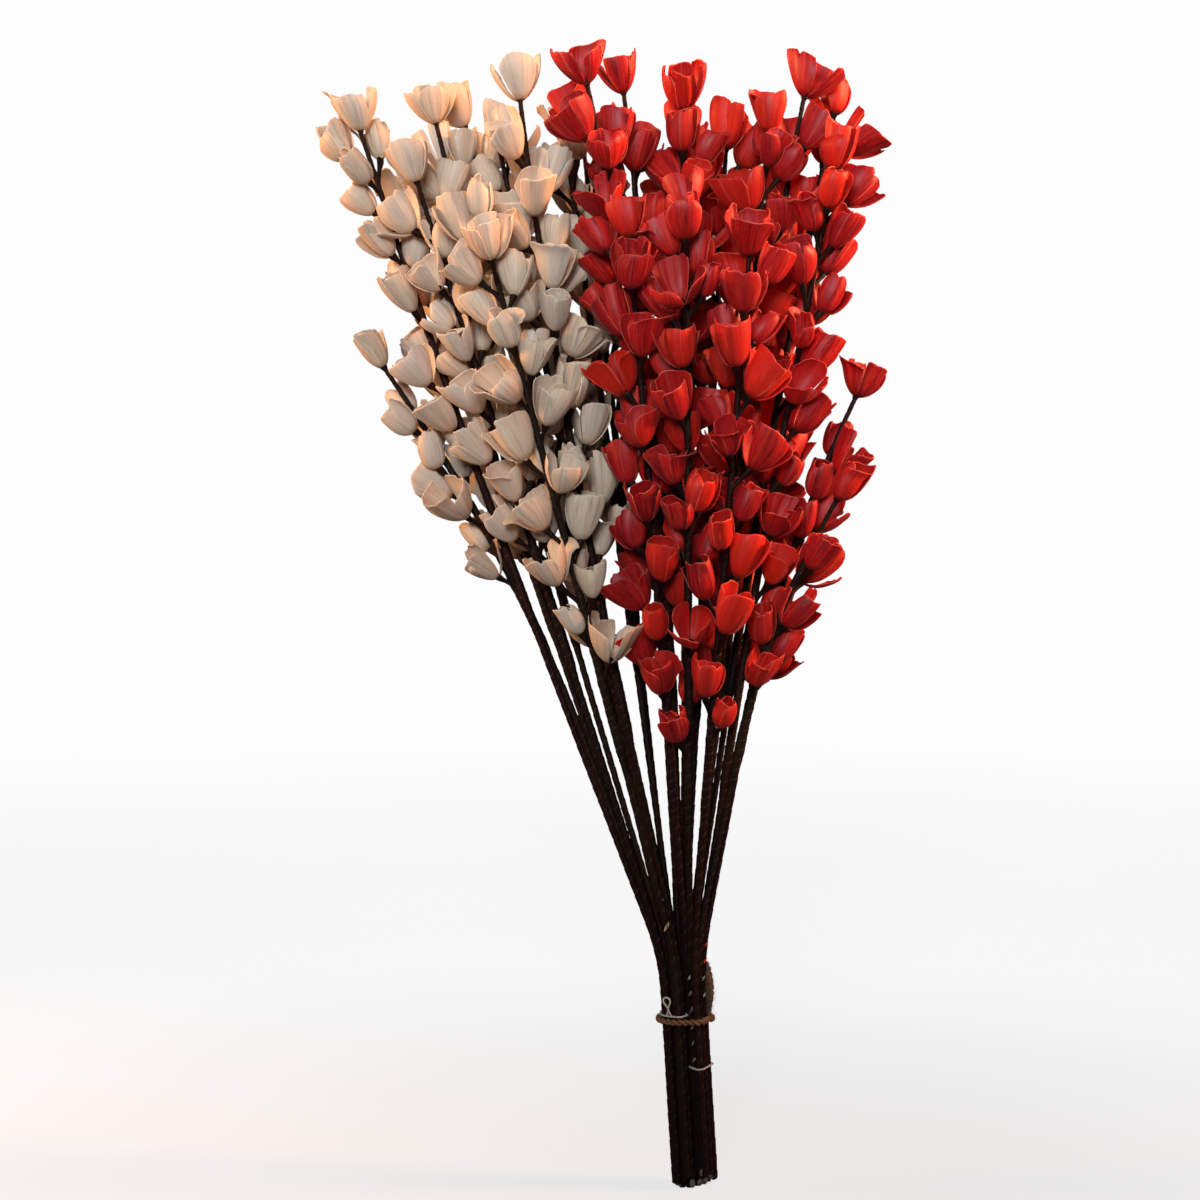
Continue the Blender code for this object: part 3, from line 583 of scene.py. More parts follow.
def petal_material(name, red):
    """Shaved palm leaf: fine lengthwise fibres, soft streaks (in red partly a painted sheen), a pale cut rim that is
    partly a painted highlight, a stained base.
    """
    mat, nt, b = tree(name)
    grain = attr(nt, "grain", "Vector")
    u, t = attr(nt, "across"), attr(nt, "along")
    tone, tint, inside = attr(nt, "tone"), attr(nt, "tint"), attr(nt, "inside")
    fibre = noise(nt, stretch(nt, grain, (2600, 55, 9)), 1.0, 2.5, 0.6)
    streak = noise(nt, stretch(nt, grain, (620, 24, 5)), 1.0, 3.0, 0.62, 0.25)
    broad = noise(nt, stretch(nt, grain, (120, 60, 3)), 1.0, 2.0, 0.5)
    speck = noise(nt, stretch(nt, grain, (900, 520, 40)), 1.0, 1.0, 0.4)
    stripe = noise(nt, stretch(nt, grain, (230, 9, 3)), 1.0, 2.0, 0.5)
    mottle = noise(nt, stretch(nt, grain, (520, 170, 7)), 1.0, 4.0, 0.62, 0.4)
    if red:
        colour = ramp(nt, streak, [(0.30, (0.130, 0.0020, 0.0034)), (0.45, (0.340, 0.0050, 0.0066)),
                                   (0.59, (0.490, 0.0092, 0.0076)), (0.74, (0.660, 0.0260, 0.0140))])
        colour = mix(nt, span(nt, mottle, 0.54, 0.72, 0.0, 0.34), colour, (0.560, 0.0680, 0.0600))
        colour = mix(nt, span(nt, mottle, 0.46, 0.30, 0.0, 0.45), colour, (0.170, 0.0016, 0.0030))
        colour = mix(nt, span(nt, tone, 0.35, 1.0, 0.0, 0.62), colour, (0.210, 0.0034, 0.0100))
        colour = mix(nt, span(nt, tint, 0.40, 1.0, 0.0, 0.70), colour, (0.720, 0.0220, 0.0055))
        colour = mix(nt, span(nt, broad, 0.50, 0.80, 0.0, 0.30), colour, (0.600, 0.0560, 0.0180))
        # pale pink streaks along the fibres, partly a painted sheen
        colour = mix(nt, span(nt, stripe, 0.57, 0.78, 0.0, 0.34), colour, (0.680, 0.1400, 0.1300))
        colour = mix(nt, span(nt, fibre, 0.56, 0.82, 0.0, 0.40), colour, (0.740, 0.0900, 0.0700))
        colour = mix(nt, span(nt, fibre, 0.44, 0.22, 0.0, 0.50), colour, (0.080, 0.0010, 0.0020))
        rim, stain, dark = (0.760, 0.170, 0.110), (0.110, 0.0040, 0.0030), (0.040, 0.003, 0.003)
    else:
        colour = ramp(nt, streak, [(0.28, (0.380, 0.275, 0.182)), (0.43, (0.540, 0.440, 0.338)),
                                   (0.57, (0.615, 0.512, 0.414)), (0.74, (0.705, 0.615, 0.520))])
        colour = mix(nt, span(nt, mottle, 0.46, 0.28, 0.0, 0.40), colour, (0.440, 0.335, 0.230))
        colour = mix(nt, span(nt, mottle, 0.56, 0.74, 0.0, 0.28), colour, (0.740, 0.680, 0.600))
        colour = mix(nt, span(nt, tone, 0.45, 1.0, 0.0, 0.38), colour, (0.640, 0.480, 0.335))
        colour = mix(nt, span(nt, tint, 0.40, 1.0, 0.0, 0.50), colour, (0.575, 0.525, 0.465))
        colour = mix(nt, span(nt, broad, 0.52, 0.80, 0.0, 0.30), colour, (0.680, 0.560, 0.430))
        colour = mix(nt, span(nt, stripe, 0.52, 0.74, 0.0, 0.40), colour, (0.550, 0.520, 0.475))
        colour = mix(nt, span(nt, stripe, 0.46, 0.26, 0.0, 0.40), colour, (0.660, 0.510, 0.355))
        colour = mix(nt, span(nt, fibre, 0.42, 0.20, 0.0, 0.36), colour, (0.420, 0.300, 0.190))
        rim, stain, dark = (0.840, 0.740, 0.630), (0.430, 0.290, 0.150), (0.110, 0.070, 0.040)
    colour = mix(nt, span(nt, speck, 0.775, 0.80, 0.0, 0.75), colour, dark)
    # pale cut rim along the petal's side and top edges, partly a painted highlight where the edges catch the light
    edge = calc(nt, "MAXIMUM", span(nt, calc(nt, "ABSOLUTE", u), 0.955, 0.99), span(nt, t, 0.980, 0.995))
    edge = calc(nt, "MULTIPLY", edge, span(nt, broad, 0.40, 0.62, 0.10, 0.62 if red else 0.75))
    colour = mix(nt, edge, colour, rim)
    colour = mix(nt, calc(nt, "MULTIPLY", span(nt, t, 0.17, 0.015), 0.72), colour, stain)
    colour = mix(nt, calc(nt, "MULTIPLY", inside, 0.16), colour, (0.30, 0.01, 0.01) if red else (0.66, 0.50, 0.33))
    link(nt, colour, b.inputs["Base Color"])
    link(nt, span(nt, streak, 0.25, 0.8, 0.42, 0.58), b.inputs["Roughness"])
    bump(nt, b, [(streak, 0.35, 0.00030), (mottle, 0.25, 0.00025), (fibre, 0.30, 0.00012)])
    b.inputs["Specular IOR Level"].default_value = 0.34
    b.inputs["Specular Tint"].default_value = (1.0, 0.80, 0.88, 1.0) if red else (1.0, 0.97, 0.94, 1.0)
    b.inputs["Sheen Weight"].default_value = 0.04 if red else 0.06
    b.inputs["Sheen Roughness"].default_value = 0.38
    b.inputs["Sheen Tint"].default_value = (1.0, 0.62, 0.72, 1.0) if red else (1.0, 0.92, 0.86, 1.0)
    b.inputs["Subsurface Weight"].default_value = 0.30
    b.inputs["Subsurface Radius"].default_value = (1.0, 0.10, 0.06) if red else (1.0, 0.62, 0.36)
    b.inputs["Subsurface Scale"].default_value = 0.0018
    return mat


def tape_material(name):
    """Dark crepe paper tape, wound on at a slant: fine creases along the stick with painted shade in them, worn turns.
    """
    mat, nt, b = tree(name)
    wind = attr(nt, "wind", "Vector")
    tint, lap = attr(nt, "tint"), attr(nt, "lap")
    crepe = noise(nt, stretch(nt, wind, (2300, 2300, 420)), 1.0, 3.0, 0.65)
    worn = noise(nt, stretch(nt, wind, (260, 260, 90)), 1.0, 4.0, 0.6)
    fleck = noise(nt, stretch(nt, wind, (700, 700, 700)), 1.0, 2.0, 0.5)
    colour = ramp(nt, tint, [(0.00, (0.0118, 0.0042, 0.0028)), (0.30, (0.0072, 0.0027, 0.0025)),
                             (0.52, (0.0150, 0.0034, 0.0030)), (0.74, (0.0100, 0.0062, 0.0034)), (1.0, (0.0128, 0.0029, 0.0048))])
    colour = mix(nt, span(nt, worn, 0.50, 0.82, 0.0, 0.42), colour, (0.021, 0.0090, 0.0066))
    # painted shade: the crepe's creases, the low parts of its bump, are darkened
    colour = mix(nt, span(nt, crepe, 0.44, 0.20, 0.0, 0.60), colour, (0.0035, 0.0016, 0.0015))
    colour = mix(nt, span(nt, lap, 0.88, 1.0, 0.0, 0.32), colour, (0.040, 0.019, 0.014))
    colour = mix(nt, span(nt, fleck, 0.745, 0.80, 0.0, 0.45), colour, (0.110, 0.070, 0.052))
    link(nt, colour, b.inputs["Base Color"])
    link(nt, span(nt, worn, 0.3, 0.8, 0.50, 0.70), b.inputs["Roughness"])
    bump(nt, b, [(crepe, 0.55, 0.00022), (worn, 0.30, 0.00030)])
    b.inputs["Specular IOR Level"].default_value = 0.17
    b.inputs["Specular Tint"].default_value = (1.0, 0.80, 0.74, 1.0)
    return mat


def bamboo_material(name, cut):
    """Bare bamboo showing between turns of tape, or the greyish cut end of a stick."""
    mat, nt, b = tree(name)
    wind = attr(nt, "wind", "Vector")
    dye = attr(nt, "dye")
    if cut:
        geo = nt.nodes.new("ShaderNodeNewGeometry").outputs["Position"]
        pores = noise(nt, stretch(nt, geo, (3800, 3800, 300)), 1.0, 2.0, 0.6)
        wide = noise(nt, stretch(nt, geo, (500, 500, 200)), 1.0, 2.0, 0.5)
        colour = ramp(nt, pores, [(0.30, (0.100, 0.096, 0.090)), (0.52, (0.260, 0.262, 0.250)), (0.75, (0.420, 0.420, 0.400))])
        colour = mix(nt, span(nt, wide, 0.40, 0.72, 0.0, 0.6), colour, (0.120, 0.118, 0.112))
        bump(nt, b, [(pores, 0.7, 0.0003)])
        rough = pores
    else:
        fibre = noise(nt, stretch(nt, wind, (1500, 1500, 60)), 1.0, 3.0, 0.6)
        colour = ramp(nt, fibre, [(0.28, (0.460, 0.380, 0.270)), (0.50, (0.660, 0.600, 0.470)), (0.75, (0.800, 0.760, 0.660))])
        colour = mix(nt, span(nt, dye, 0.45, 0.55), colour, (0.420, 0.035, 0.015))
        bump(nt, b, [(fibre, 0.4, 0.0002)])
        rough = fibre
    link(nt, colour, b.inputs["Base Color"])
    link(nt, span(nt, rough, 0.3, 0.8, 0.48, 0.68), b.inputs["Roughness"])
    return mat


def jute_material(name):
    """Two-ply jute: golden brown fibres lying along the twist, with painted shade in the grooves where one strand lies
    against the other.
    """
    mat, nt, b = tree(name)
    lay = attr(nt, "lay", "Vector")
    hollow, tint = attr(nt, "hollow"), attr(nt, "tint")
    fibre = noise(nt, stretch(nt, lay, (2600, 2600, 160)), 1.0, 3.0, 0.68)
    patch = noise(nt, stretch(nt, lay, (240, 240, 60)), 1.0, 3.0, 0.55)
    colour = ramp(nt, fibre, [(0.26, (0.070, 0.026, 0.011)), (0.45, (0.180, 0.078, 0.034)),
                              (0.60, (0.290, 0.138, 0.064)), (0.80, (0.430, 0.240, 0.120))])
    colour = mix(nt, span(nt, patch, 0.45, 0.80, 0.0, 0.5), colour, (0.150, 0.062, 0.028))
    # painted shade: the grooves between the two strands are darkened
    colour = mix(nt, calc(nt, "MULTIPLY", hollow, 0.75), colour, (0.035, 0.013, 0.006))
    colour = mix(nt, span(nt, tint, 0.5, 1.0, 0.0, 0.62), colour, (0.075, 0.048, 0.024))
    link(nt, colour, b.inputs["Base Color"])
    link(nt, span(nt, fibre, 0.3, 0.8, 0.70, 0.90), b.inputs["Roughness"])
    bump(nt, b, [(fibre, 0.8, 0.00035), (patch, 0.3, 0.0004)])
    b.inputs["Sheen Weight"].default_value = 0.20
    b.inputs["Sheen Roughness"].default_value = 0.5
    b.inputs["Sheen Tint"].default_value = (1.0, 0.80, 0.58, 1.0)
    return mat


def cotton_material(name):
    """Thin off-white cotton string, twisted, slightly soiled, with painted shade in the grooves between its strands.
    """
    mat, nt, b = tree(name)
    lay = attr(nt, "lay", "Vector")
    hollow = attr(nt, "hollow")
    fibre = noise(nt, stretch(nt, lay, (5200, 5200, 420)), 1.0, 3.0, 0.6)
    soil = noise(nt, stretch(nt, lay, (500, 500, 90)), 1.0, 3.0, 0.6)
    colour = ramp(nt, fibre, [(0.28, (0.520, 0.490, 0.450)), (0.52, (0.720, 0.700, 0.660)), (0.80, (0.860, 0.850, 0.820))])
    colour = mix(nt, span(nt, soil, 0.50, 0.80, 0.0, 0.55), colour, (0.440, 0.370, 0.300))
    # painted shade: the grooves between the two strands are darkened
    colour = mix(nt, calc(nt, "MULTIPLY", hollow, 0.55), colour, (0.290, 0.250, 0.210))
    link(nt, colour, b.inputs["Base Color"])
    link(nt, span(nt, fibre, 0.3, 0.8, 0.72, 0.92), b.inputs["Roughness"])
    bump(nt, b, [(fibre, 0.6, 0.0002)])
    b.inputs["Sheen Weight"].default_value = 0.15
    b.inputs["Sheen Roughness"].default_value = 0.5
    return mat


def glue_material(name):
    """Small set drops of clear-yellow glue where the petals are bound on."""
    mat, nt, b = tree(name)
    grain = attr(nt, "wind", "Vector")
    cloud = noise(nt, stretch(nt, grain, (700, 700, 700)), 1.0, 2.0, 0.5)
    link(nt, ramp(nt, cloud, [(0.3, (0.560, 0.400, 0.260)), (0.7, (0.760, 0.640, 0.500))]), b.inputs["Base Color"])
    link(nt, span(nt, cloud, 0.3, 0.8, 0.16, 0.30), b.inputs["Roughness"])
    bump(nt, b, [(cloud, 0.3, 0.0003)])
    return mat


PETAL_W = petal_material("petal_cream", False)
PETAL_R = petal_material("petal_red", True)
TAPE = tape_material("dark_tape")
BARE = bamboo_material("bare_bamboo", False)
CUT = bamboo_material("cut_end", True)
JUTE = jute_material("jute_twine")
COTTON = cotton_material("cotton_string")
GLUE = glue_material("glue_drop")

# ---------------------------------------------------------------- petals
U_AT = np.array([-1.0, -0.955, -0.86, -0.72, -0.56, -0.38, -0.19, 0.0, 0.19, 0.38, 0.56, 0.72, 0.86, 0.955, 1.0])
T_AT = np.array([0.0, 0.035, 0.09, 0.17, 0.28, 0.41, 0.55, 0.69, 0.81, 0.905, 0.968, 1.0])
SWELL = {          # half the head's width along its length, as shares of the full half width
    "cup": np.array([0.17, 0.35, 0.51, 0.67, 0.80, 0.90, 0.96, 1.0, 1.01, 1.0, 0.98, 0.96]),
    "open": np.array([0.16, 0.28, 0.41, 0.55, 0.68, 0.80, 0.90, 0.98, 1.04, 1.08, 1.10, 1.11]),
    "bud": np.array([0.18, 0.40, 0.60, 0.77, 0.90, 0.98, 1.0, 0.98, 0.93, 0.86, 0.78, 0.72]),
}
CONE = np.array([0.15, 0.25, 0.37, 0.50, 0.64, 0.77, 0.88, 0.95, 0.99, 1.0, 0.99, 0.97])
THICK = 0.00052


def sheet_faces(rows, cols):
    """Faces of a thin closed sheet: its outer side, its inner side and its rim."""
    def i(r, c, back=0):
        return back * rows * cols + r * cols + c
    out = []
    for r in range(rows - 1):
        for c in range(cols - 1):
            out.append((i(r, c), i(r + 1, c), i(r + 1, c + 1), i(r, c + 1)))
            out.append((i(r, c, 1), i(r, c + 1, 1), i(r + 1, c + 1, 1), i(r + 1, c, 1)))
    for r in range(rows - 1):
        out.append((i(r, 0), i(r, 0, 1), i(r + 1, 0, 1), i(r + 1, 0)))
        out.append((i(r, cols - 1), i(r + 1, cols - 1), i(r + 1, cols - 1, 1), i(r, cols - 1, 1)))
    for c in range(cols - 1):
        out.append((i(0, c), i(0, c + 1), i(0, c + 1, 1), i(0, c, 1)))
        out.append((i(rows - 1, c), i(rows - 1, c, 1), i(rows - 1, c + 1, 1), i(rows - 1, c + 1)))
    return out


SHEET = sheet_faces(len(T_AT), len(U_AT))


def petal(rng, length, radius, swell, half, offset, spiral, lean_out, flat, style, calm):
    """One petal in the head's own frame (y outwards, z along the axis): points and values."""
    u, t = U_AT[None, :], T_AT[:, None]
    # the top edge: round, cut square or cut askew, with small torn jags
    power, drop = {"round": (3.0, 0.20), "square": (12.0, 0.055), "askew": (9.0, 0.07), "worn": (6.0, 0.12)}[style]
    top = 1 - drop * np.abs(U_AT) ** power + {"askew": 0.11}.get(style, 0.025) * U_AT * rng.choice((-1, 1))
    jag = {"round": 0.004, "square": 0.008, "askew": 0.010, "worn": 0.019}[style]
    top += rng.uniform(0.006, 0.026) * np.sin(math.pi * (rng.uniform(0.9, 2.2) * U_AT + rng.uniform(0, 2)))
    top += rng.normal(0, jag, len(U_AT)) * (np.abs(U_AT) < 0.99)
    if rng.rand() < 0.18:                                   # a small tear in the edge
        top[rng.randint(2, len(U_AT) - 2)] -= rng.uniform(0.04, 0.10)
    if rng.rand() < 0.10:                                   # a corner torn off
        top -= np.clip(rng.choice((-1, 1)) * U_AT - rng.uniform(0.3, 0.7), 0, 1) * rng.uniform(0.25, 0.5)
    top = top[None, :]
    along = t * (1 + (top - 1) * smooth01((t - 0.35) / 0.65))
    r = np.interp(t[:, 0], T_AT, swell)[:, None] * radius * (1 + 0 * u)
    z = along * length
    # bend the upper part outwards or inwards, more on one side
    bend = np.radians(rng.normal(2 if style != "round" else -4, 10))
    if rng.rand() < 0.11:
        bend = np.radians(rng.uniform(30, 80)) * rng.choice((1, 1, -1))
    if calm:
        bend = min(max(bend, -0.25), 0.05)
    skew = rng.uniform(-0.8, 0.8)
    start = rng.uniform(0.50, 0.72)
    angle = bend * smooth01((t - start) / (1 - start)) * (1 + skew * u)
    dr, dz = np.diff(r, axis=0), np.diff(z, axis=0)
    am = (angle[1:] + angle[:-1]) / 2
    r = r[:1] + np.vstack([np.zeros((1, len(U_AT))), np.cumsum(dr * np.cos(am) + dz * np.sin(am), 0)])
    z = np.vstack([np.zeros((1, len(U_AT))), np.cumsum(dz * np.cos(am) - dr * np.sin(am), 0)])
    # across: part of a circle, flattened, with curled edges, a crease and shallow flutes
    r = r * (1 + offset + spiral * u)
    edge = rng.uniform(-0.07, 0.10) * np.where(u > 0, 1.0, rng.uniform(0.3, 1.2)) * np.abs(u) ** 4 * t
    r = r + edge * radius
    if rng.rand() < 0.40:                                   # one soft fold along the petal
        c = rng.uniform(-0.4, 0.4)
        r = r + rng.uniform(-0.16, 0.12) * radius * (0.45 - np.abs(u - c)) * smooth01(t / 0.35)
    for _ in range(rng.choice(3, p=(0.45, 0.35, 0.20))):     # sharp creases, running aslant
        c, lean = rng.uniform(-0.7, 0.7), rng.uniform(-0.5, 0.5)
        near = np.clip(1 - np.abs(u - c - lean * (t - 0.5)) / rng.uniform(0.14, 0.26), 0, 1)
        r = r + rng.uniform(-0.055, 0.04) * radius * near * smooth01((t - rng.uniform(0.05, 0.35)) / 0.25)
    waves = rng.uniform(0.010, 0.034) * radius
    r = r + waves * np.sin(math.pi * (rng.uniform(1.6, 3.4) * u + rng.uniform(0, 2))) * smooth01(t / 0.4)
    r = r + rng.uniform(0.005, 0.014) * radius * np.sin(math.pi * (rng.uniform(4.0, 5.5) * u + rng.uniform(0, 2)) + 1.5 * t) * t
    theta = u * half * (1 - 0.06 * smooth01((t - 0.7) / 0.3))
    x = r * np.sin(theta) * (1 + 0.10 * flat)
    y = r * (1 - (1 - np.cos(theta)) * (1 - flat))
    p = np.stack([x, y, z + 0 * x], -1)
    tau = math.radians(lean_out)
    y, z = p[..., 1] * math.cos(tau) + p[..., 2] * math.sin(tau), p[..., 2] * math.cos(tau) - p[..., 1] * math.sin(tau)
    roll = math.radians(rng.normal(0, 5)) * t
    p = np.stack([p[..., 0] + roll * z, y, z], -1)
    du = np.gradient(p, axis=1)
    dt = np.gradient(p, axis=0)
    n = np.cross(dt, du)
    n /= np.linalg.norm(n, axis=-1, keepdims=True) + 1e-12
    points = np.concatenate([(p + n * THICK / 2).reshape(-1, 3), (p - n * THICK / 2).reshape(-1, 3)])
    uu, tt = np.broadcast_to(u, x.shape), np.broadcast_to(t, x.shape)
    width = 0.9 * half * radius
    seed = rng.uniform(0, 40)
    grain = np.stack([uu * width + rng.uniform(-0.1, 0.1), tt * length, 0 * uu + seed], -1).reshape(-1, 3)
    values = dict(across=np.tile(uu.ravel(), 2), along=np.tile(tt.ravel(), 2), grain=np.tile(grain, (2, 1)),
                  inside=np.repeat([0.0, 1.0], uu.size), tone=rng.rand())
    return points, values


def head_petals(pile, rng, base, axis, length, radius, kind, pointed, calm, path):
    """All the petals of one flower head, set in place. A calm head has no petals that stand off;
    petals keep clear of the path, the line along which the loose stem is drawn."""
    other = "open" if kind != "open" else "cup"
    blend = rng.uniform(0, 0.55 if kind == "cup" else 0.25)
    swell = SWELL[kind] * (1 - blend) + SWELL[other] * blend * (1.0 if kind != "open" else 1.1)
    if kind != "bud":                                       # some heads taper down to their twig
        cone = rng.uniform(*pointed)
        swell = swell * (1 - cone) + CONE * (1.1 if kind == "open" else 1.0) * cone
    tint = rng.rand()
    styles = ("round", "square", "askew", "worn")
    plan = []
    turn = rng.uniform(0, 2 * math.pi)
    if kind == "bud":
        for k in range(3):
            plan.append((turn + k * 2.094, math.radians(rng.uniform(70, 82)), -0.02, 0.100, rng.uniform(-2.5, 1.5), rng.uniform(-0.10, 0.10), 0.96))
        chance = (0.34, 0.30, 0.18, 0.18)
    elif kind == "cup":
        chance = (0.14, 0.42, 0.24, 0.20)
        if rng.rand() < 0.58:
            for k in range(4):
                inner = k % 2
                plan.append((turn + k * math.pi / 2 + rng.normal(0, 0.09), math.radians(rng.uniform(54, 64) if inner else rng.uniform(62, 74)),
                             -0.15 if inner else 0.05, 0.0, rng.uniform(-4, 1) if inner else rng.uniform(-3, 3.5),
                             rng.uniform(-0.25, 0.0) if inner else rng.uniform(0.10, 0.50), rng.uniform(0.90, 1.05)))
        else:
            for k in range(3):
                plan.append((turn + k * 2.094 + rng.normal(0, 0.10), math.radians(rng.uniform(64, 76)), 0.0, 0.100, rng.uniform(-4, 3), rng.uniform(-0.05, 0.20), rng.uniform(0.92, 1.05)))
    else:
        chance = (0.22, 0.30, 0.26, 0.22)
        n = 4 if rng.rand() < 0.7 else 3
        for k in range(n):
            inner = k % 2 if n == 4 else 0
            plan.append((turn + k * 2 * math.pi / n + rng.normal(0, 0.14), math.radians(rng.uniform(44, 58) if n == 4 else rng.uniform(54, 68)),
                         -0.10 if inner else 0.04, 0.03, rng.uniform(-2, 8), rng.uniform(0.0, 0.45), rng.uniform(0.86, 1.06)))
    side = unit(np.cross(axis, [0.13, 1.0, 0.21]))
    lift = np.cross(axis, side)
    tall = rng.randint(len(plan))
    squash = rng.uniform(0.86, 1.0)                         # a head is seldom quite round
    for k, (azimuth, half, offset, spiral, out, flat, part) in enumerate(plan):
        if k != tall:
            part *= rng.uniform(0.84, 1.02)
            if rng.rand() < 0.09 and not calm:              # a petal that stands off
                out, half, flat = out + rng.uniform(8, 24), half * rng.uniform(0.6, 0.9), flat * 0.5
        p, values = petal(rng, length * part, radius * 1.08, swell, half, offset, spiral, out, flat, styles[rng.choice(4, p=chance)], calm)
        c, s = math.cos(azimuth), math.sin(azimuth)
        q = np.stack([p[:, 0] * c - p[:, 1] * s, (p[:, 0] * s + p[:, 1] * c) * squash, p[:, 2]], -1)
        world = base + q[:, :1] * side + q[:, 1:2] * lift + q[:, 2:] * axis
        if path is not None:
            off = world - path[0]
            off = off - (off @ path[1])[:, None] * path[1]
            gap = np.linalg.norm(off, axis=1)
            world = world + off / (gap[:, None] + 1e-9) * (np.clip(0.0086 - gap, 0, 1) / 2)[:, None]
        pile.add(world, SHEET, tint=tint, **values)


# ---------------------------------------------------------------- taped tubes
def taped_tube(pile, where, z0, z1, radius, pitch, rng, cols=12, step=0.00020, tint=0.5, slant=(0.0, 0.0), gaps=(), phase0=None,
               cap_material=None, seed=0.0):
    """A stick or stem wound with tape: the rows of the mesh follow the winding, so that each
    turn ends in a real edge lying over the next one. where(z) gives the line and its two
    directions across, radius(z) the size under the tape. slant tilts the cut at the lower end.
    gaps names turns that lie open, as {turn: (height, direction, tint)}."""
    shares = np.array([0.0, 0.10, 0.34, 0.62, 0.90, 0.985])
    rows_per = len(shares)
    phase0 = rng.uniform(0, 1) if phase0 is None else phase0
    turns = int(math.ceil((z1 - z0) / pitch)) + 3
    w = 2 * math.pi * np.arange(cols) / cols
    low = z0 + radius(np.array(z0)) * (slant[0] * np.cos(w) + slant[1] * np.sin(w) + math.hypot(*slant))
    z_rows, share_rows, turn_rows = [], [], []
    for k in range(turns):
        for s in shares:
            z_rows.append(z0 + (k - 1.5 + s - phase0) * pitch)
            share_rows.append(s)
            turn_rows.append(k)
    z_rows, share_rows, turn_rows = np.array(z_rows), np.array(share_rows), np.array(turn_rows)
    z = z_rows[:, None] + pitch * (w / (2 * math.pi))[None, :]
    # an open turn: the rows on both sides of the tape's edge move apart where it faces
    gapes, dye = {}, np.zeros_like(z)
    for turn, (height, facing, red) in dict(gaps).items():
        gapes[turn] = height / 2 * np.maximum(0, np.cos(w - facing)) ** 1.4
        for row in range(len(z_rows)):
            if turn_rows[row] == turn and share_rows[row] >= 0.985:
                z[row] -= gapes[turn]
                dye[row] = red
            if turn_rows[row] == turn + 1 and share_rows[row] == 0.0:
                z[row] += gapes[turn]
                dye[row] = red
    zc = np.clip(z, low[None, :], z1)
    line, uu, vv = where(zc.ravel())
    share = np.where((z > low[None, :]) & (z < z1), share_rows[:, None] + 0 * z, 0.45)
    r = radius(zc) + step * (share - 0.5) * 2
    ang = np.tile(w, (len(z_rows), 1))
    r = r * (1 + 0.020 * np.sin(3 * ang + 70 * zc + seed) + 0.014 * np.sin(ang * 2 - 190 * zc + 2 * seed))
    p = line + (r.ravel() * np.cos(ang.ravel()))[:, None] * uu + (r.ravel() * np.sin(ang.ravel()))[:, None] * vv
    faces, mats = [], []
    m = len(z_rows)
    under, over = z <= low[None, :], z >= z1
    for i in range(m - 1):
        for j in range(cols):
            k, l = (i, j + 1) if j < cols - 1 else (i + rows_per, 0)
            if k + 1 >= m:
                continue
            a, b, c, d = (i, j), (k, l), (k + 1, l), (i + 1, j)
            if all(under[q] for q in (a, b, c, d)) or all(over[q] for q in (a, b, c, d)):
                continue
            faces.append(tuple(q[0] * cols + q[1] for q in (a, b, c, d)))
            gape = gapes.get(int(turn_rows[i])) if share_rows[i] >= 0.985 else None
            mats.append(1 if gape is not None and gape[j] + gape[(j + 1) % cols] > 0.0006 else 0)
    values = dict(wind=np.stack([(r * np.cos(ang)).ravel() + 0.013 * seed, (r * np.sin(ang)).ravel(), zc.ravel() + 0.7 * seed], -1),
                  lap=share.ravel(), tint=tint, dye=dye.ravel())
    pile.add(p, faces, mats, **values)
    return low


def close_ends(ob, cut_index=None):
    """Fill the open ends of every tube; the lowest end becomes a stick's cut face, with the
    tape standing round it."""
    bm = bmesh.new()
    bm.from_mesh(ob.data)
    bmesh.ops.remove_doubles(bm, verts=bm.verts[:], dist=2e-6)
    bmesh.ops.dissolve_degenerate(bm, edges=bm.edges[:], dist=2e-6)
    loose = [e for e in bm.edges if not e.link_faces]
    bmesh.ops.delete(bm, geom=loose, context="EDGES")
    bmesh.ops.delete(bm, geom=[v for v in bm.verts if not v.link_faces], context="VERTS")
    rim = [e for e in bm.edges if len(e.link_faces) == 1]
    made = bmesh.ops.holes_fill(bm, edges=rim, sides=0)["faces"]
    for f in made:
        f.smooth = False
    if cut_index is not None and made:
        f = min(made, key=lambda g: g.calc_center_median().z)
        f.material_index = cut_index
        inset = bmesh.ops.inset_region(bm, faces=[f], thickness=0.00034, depth=0.0)["faces"]
        for g in inset:
            g.material_index = 0
        bmesh.ops.inset_region(bm, faces=[f], thickness=0.00005, depth=-0.0004)
        f.material_index = cut_index
    bmesh.ops.recalc_face_normals(bm, faces=bm.faces[:])
    bm.to_mesh(ob.data)
    bm.free()
    ob.data.update()


def soft_tube(pile, points, radii, cols=8, tint=0.5, seed=0.0, material=0):
    """A bound twig: a round tube along a short curve, closed at both ends."""
    m = len(points)
    t = np.gradient(points, axis=0)
    t /= np.linalg.norm(t, axis=1, keepdims=True)
    u = unit(np.cross(t[0], [0.31, 0.9, 0.22]))
    verts, wind = [], []
    run = 0.0
    for k in range(m):
        u = unit(u - t[k] * (u @ t[k]))
        v = np.cross(t[k], u)
        if k:
            run += np.linalg.norm(points[k] - points[k - 1])
        for j in range(cols):
            a = 2 * math.pi * j / cols
            rr = radii[k] * (1 + 0.05 * math.sin(3 * a + 2.1 * k + seed))
            verts.append(points[k] + rr * (math.cos(a) * u + math.sin(a) * v))
            wind.append((rr * math.cos(a) + 0.01 * seed, rr * math.sin(a), run + 0.7 * seed))
    faces = [(k * cols + j, k * cols + (j + 1) % cols, (k + 1) * cols + (j + 1) % cols, (k + 1) * cols + j)
             for k in range(m - 1) for j in range(cols)]
    faces.append(tuple(reversed(range(cols))))
    faces.append(tuple((m - 1) * cols + j for j in range(cols)))
    pile.add(verts, faces, material, wind=np.array(wind), lap=0.4, tint=tint)


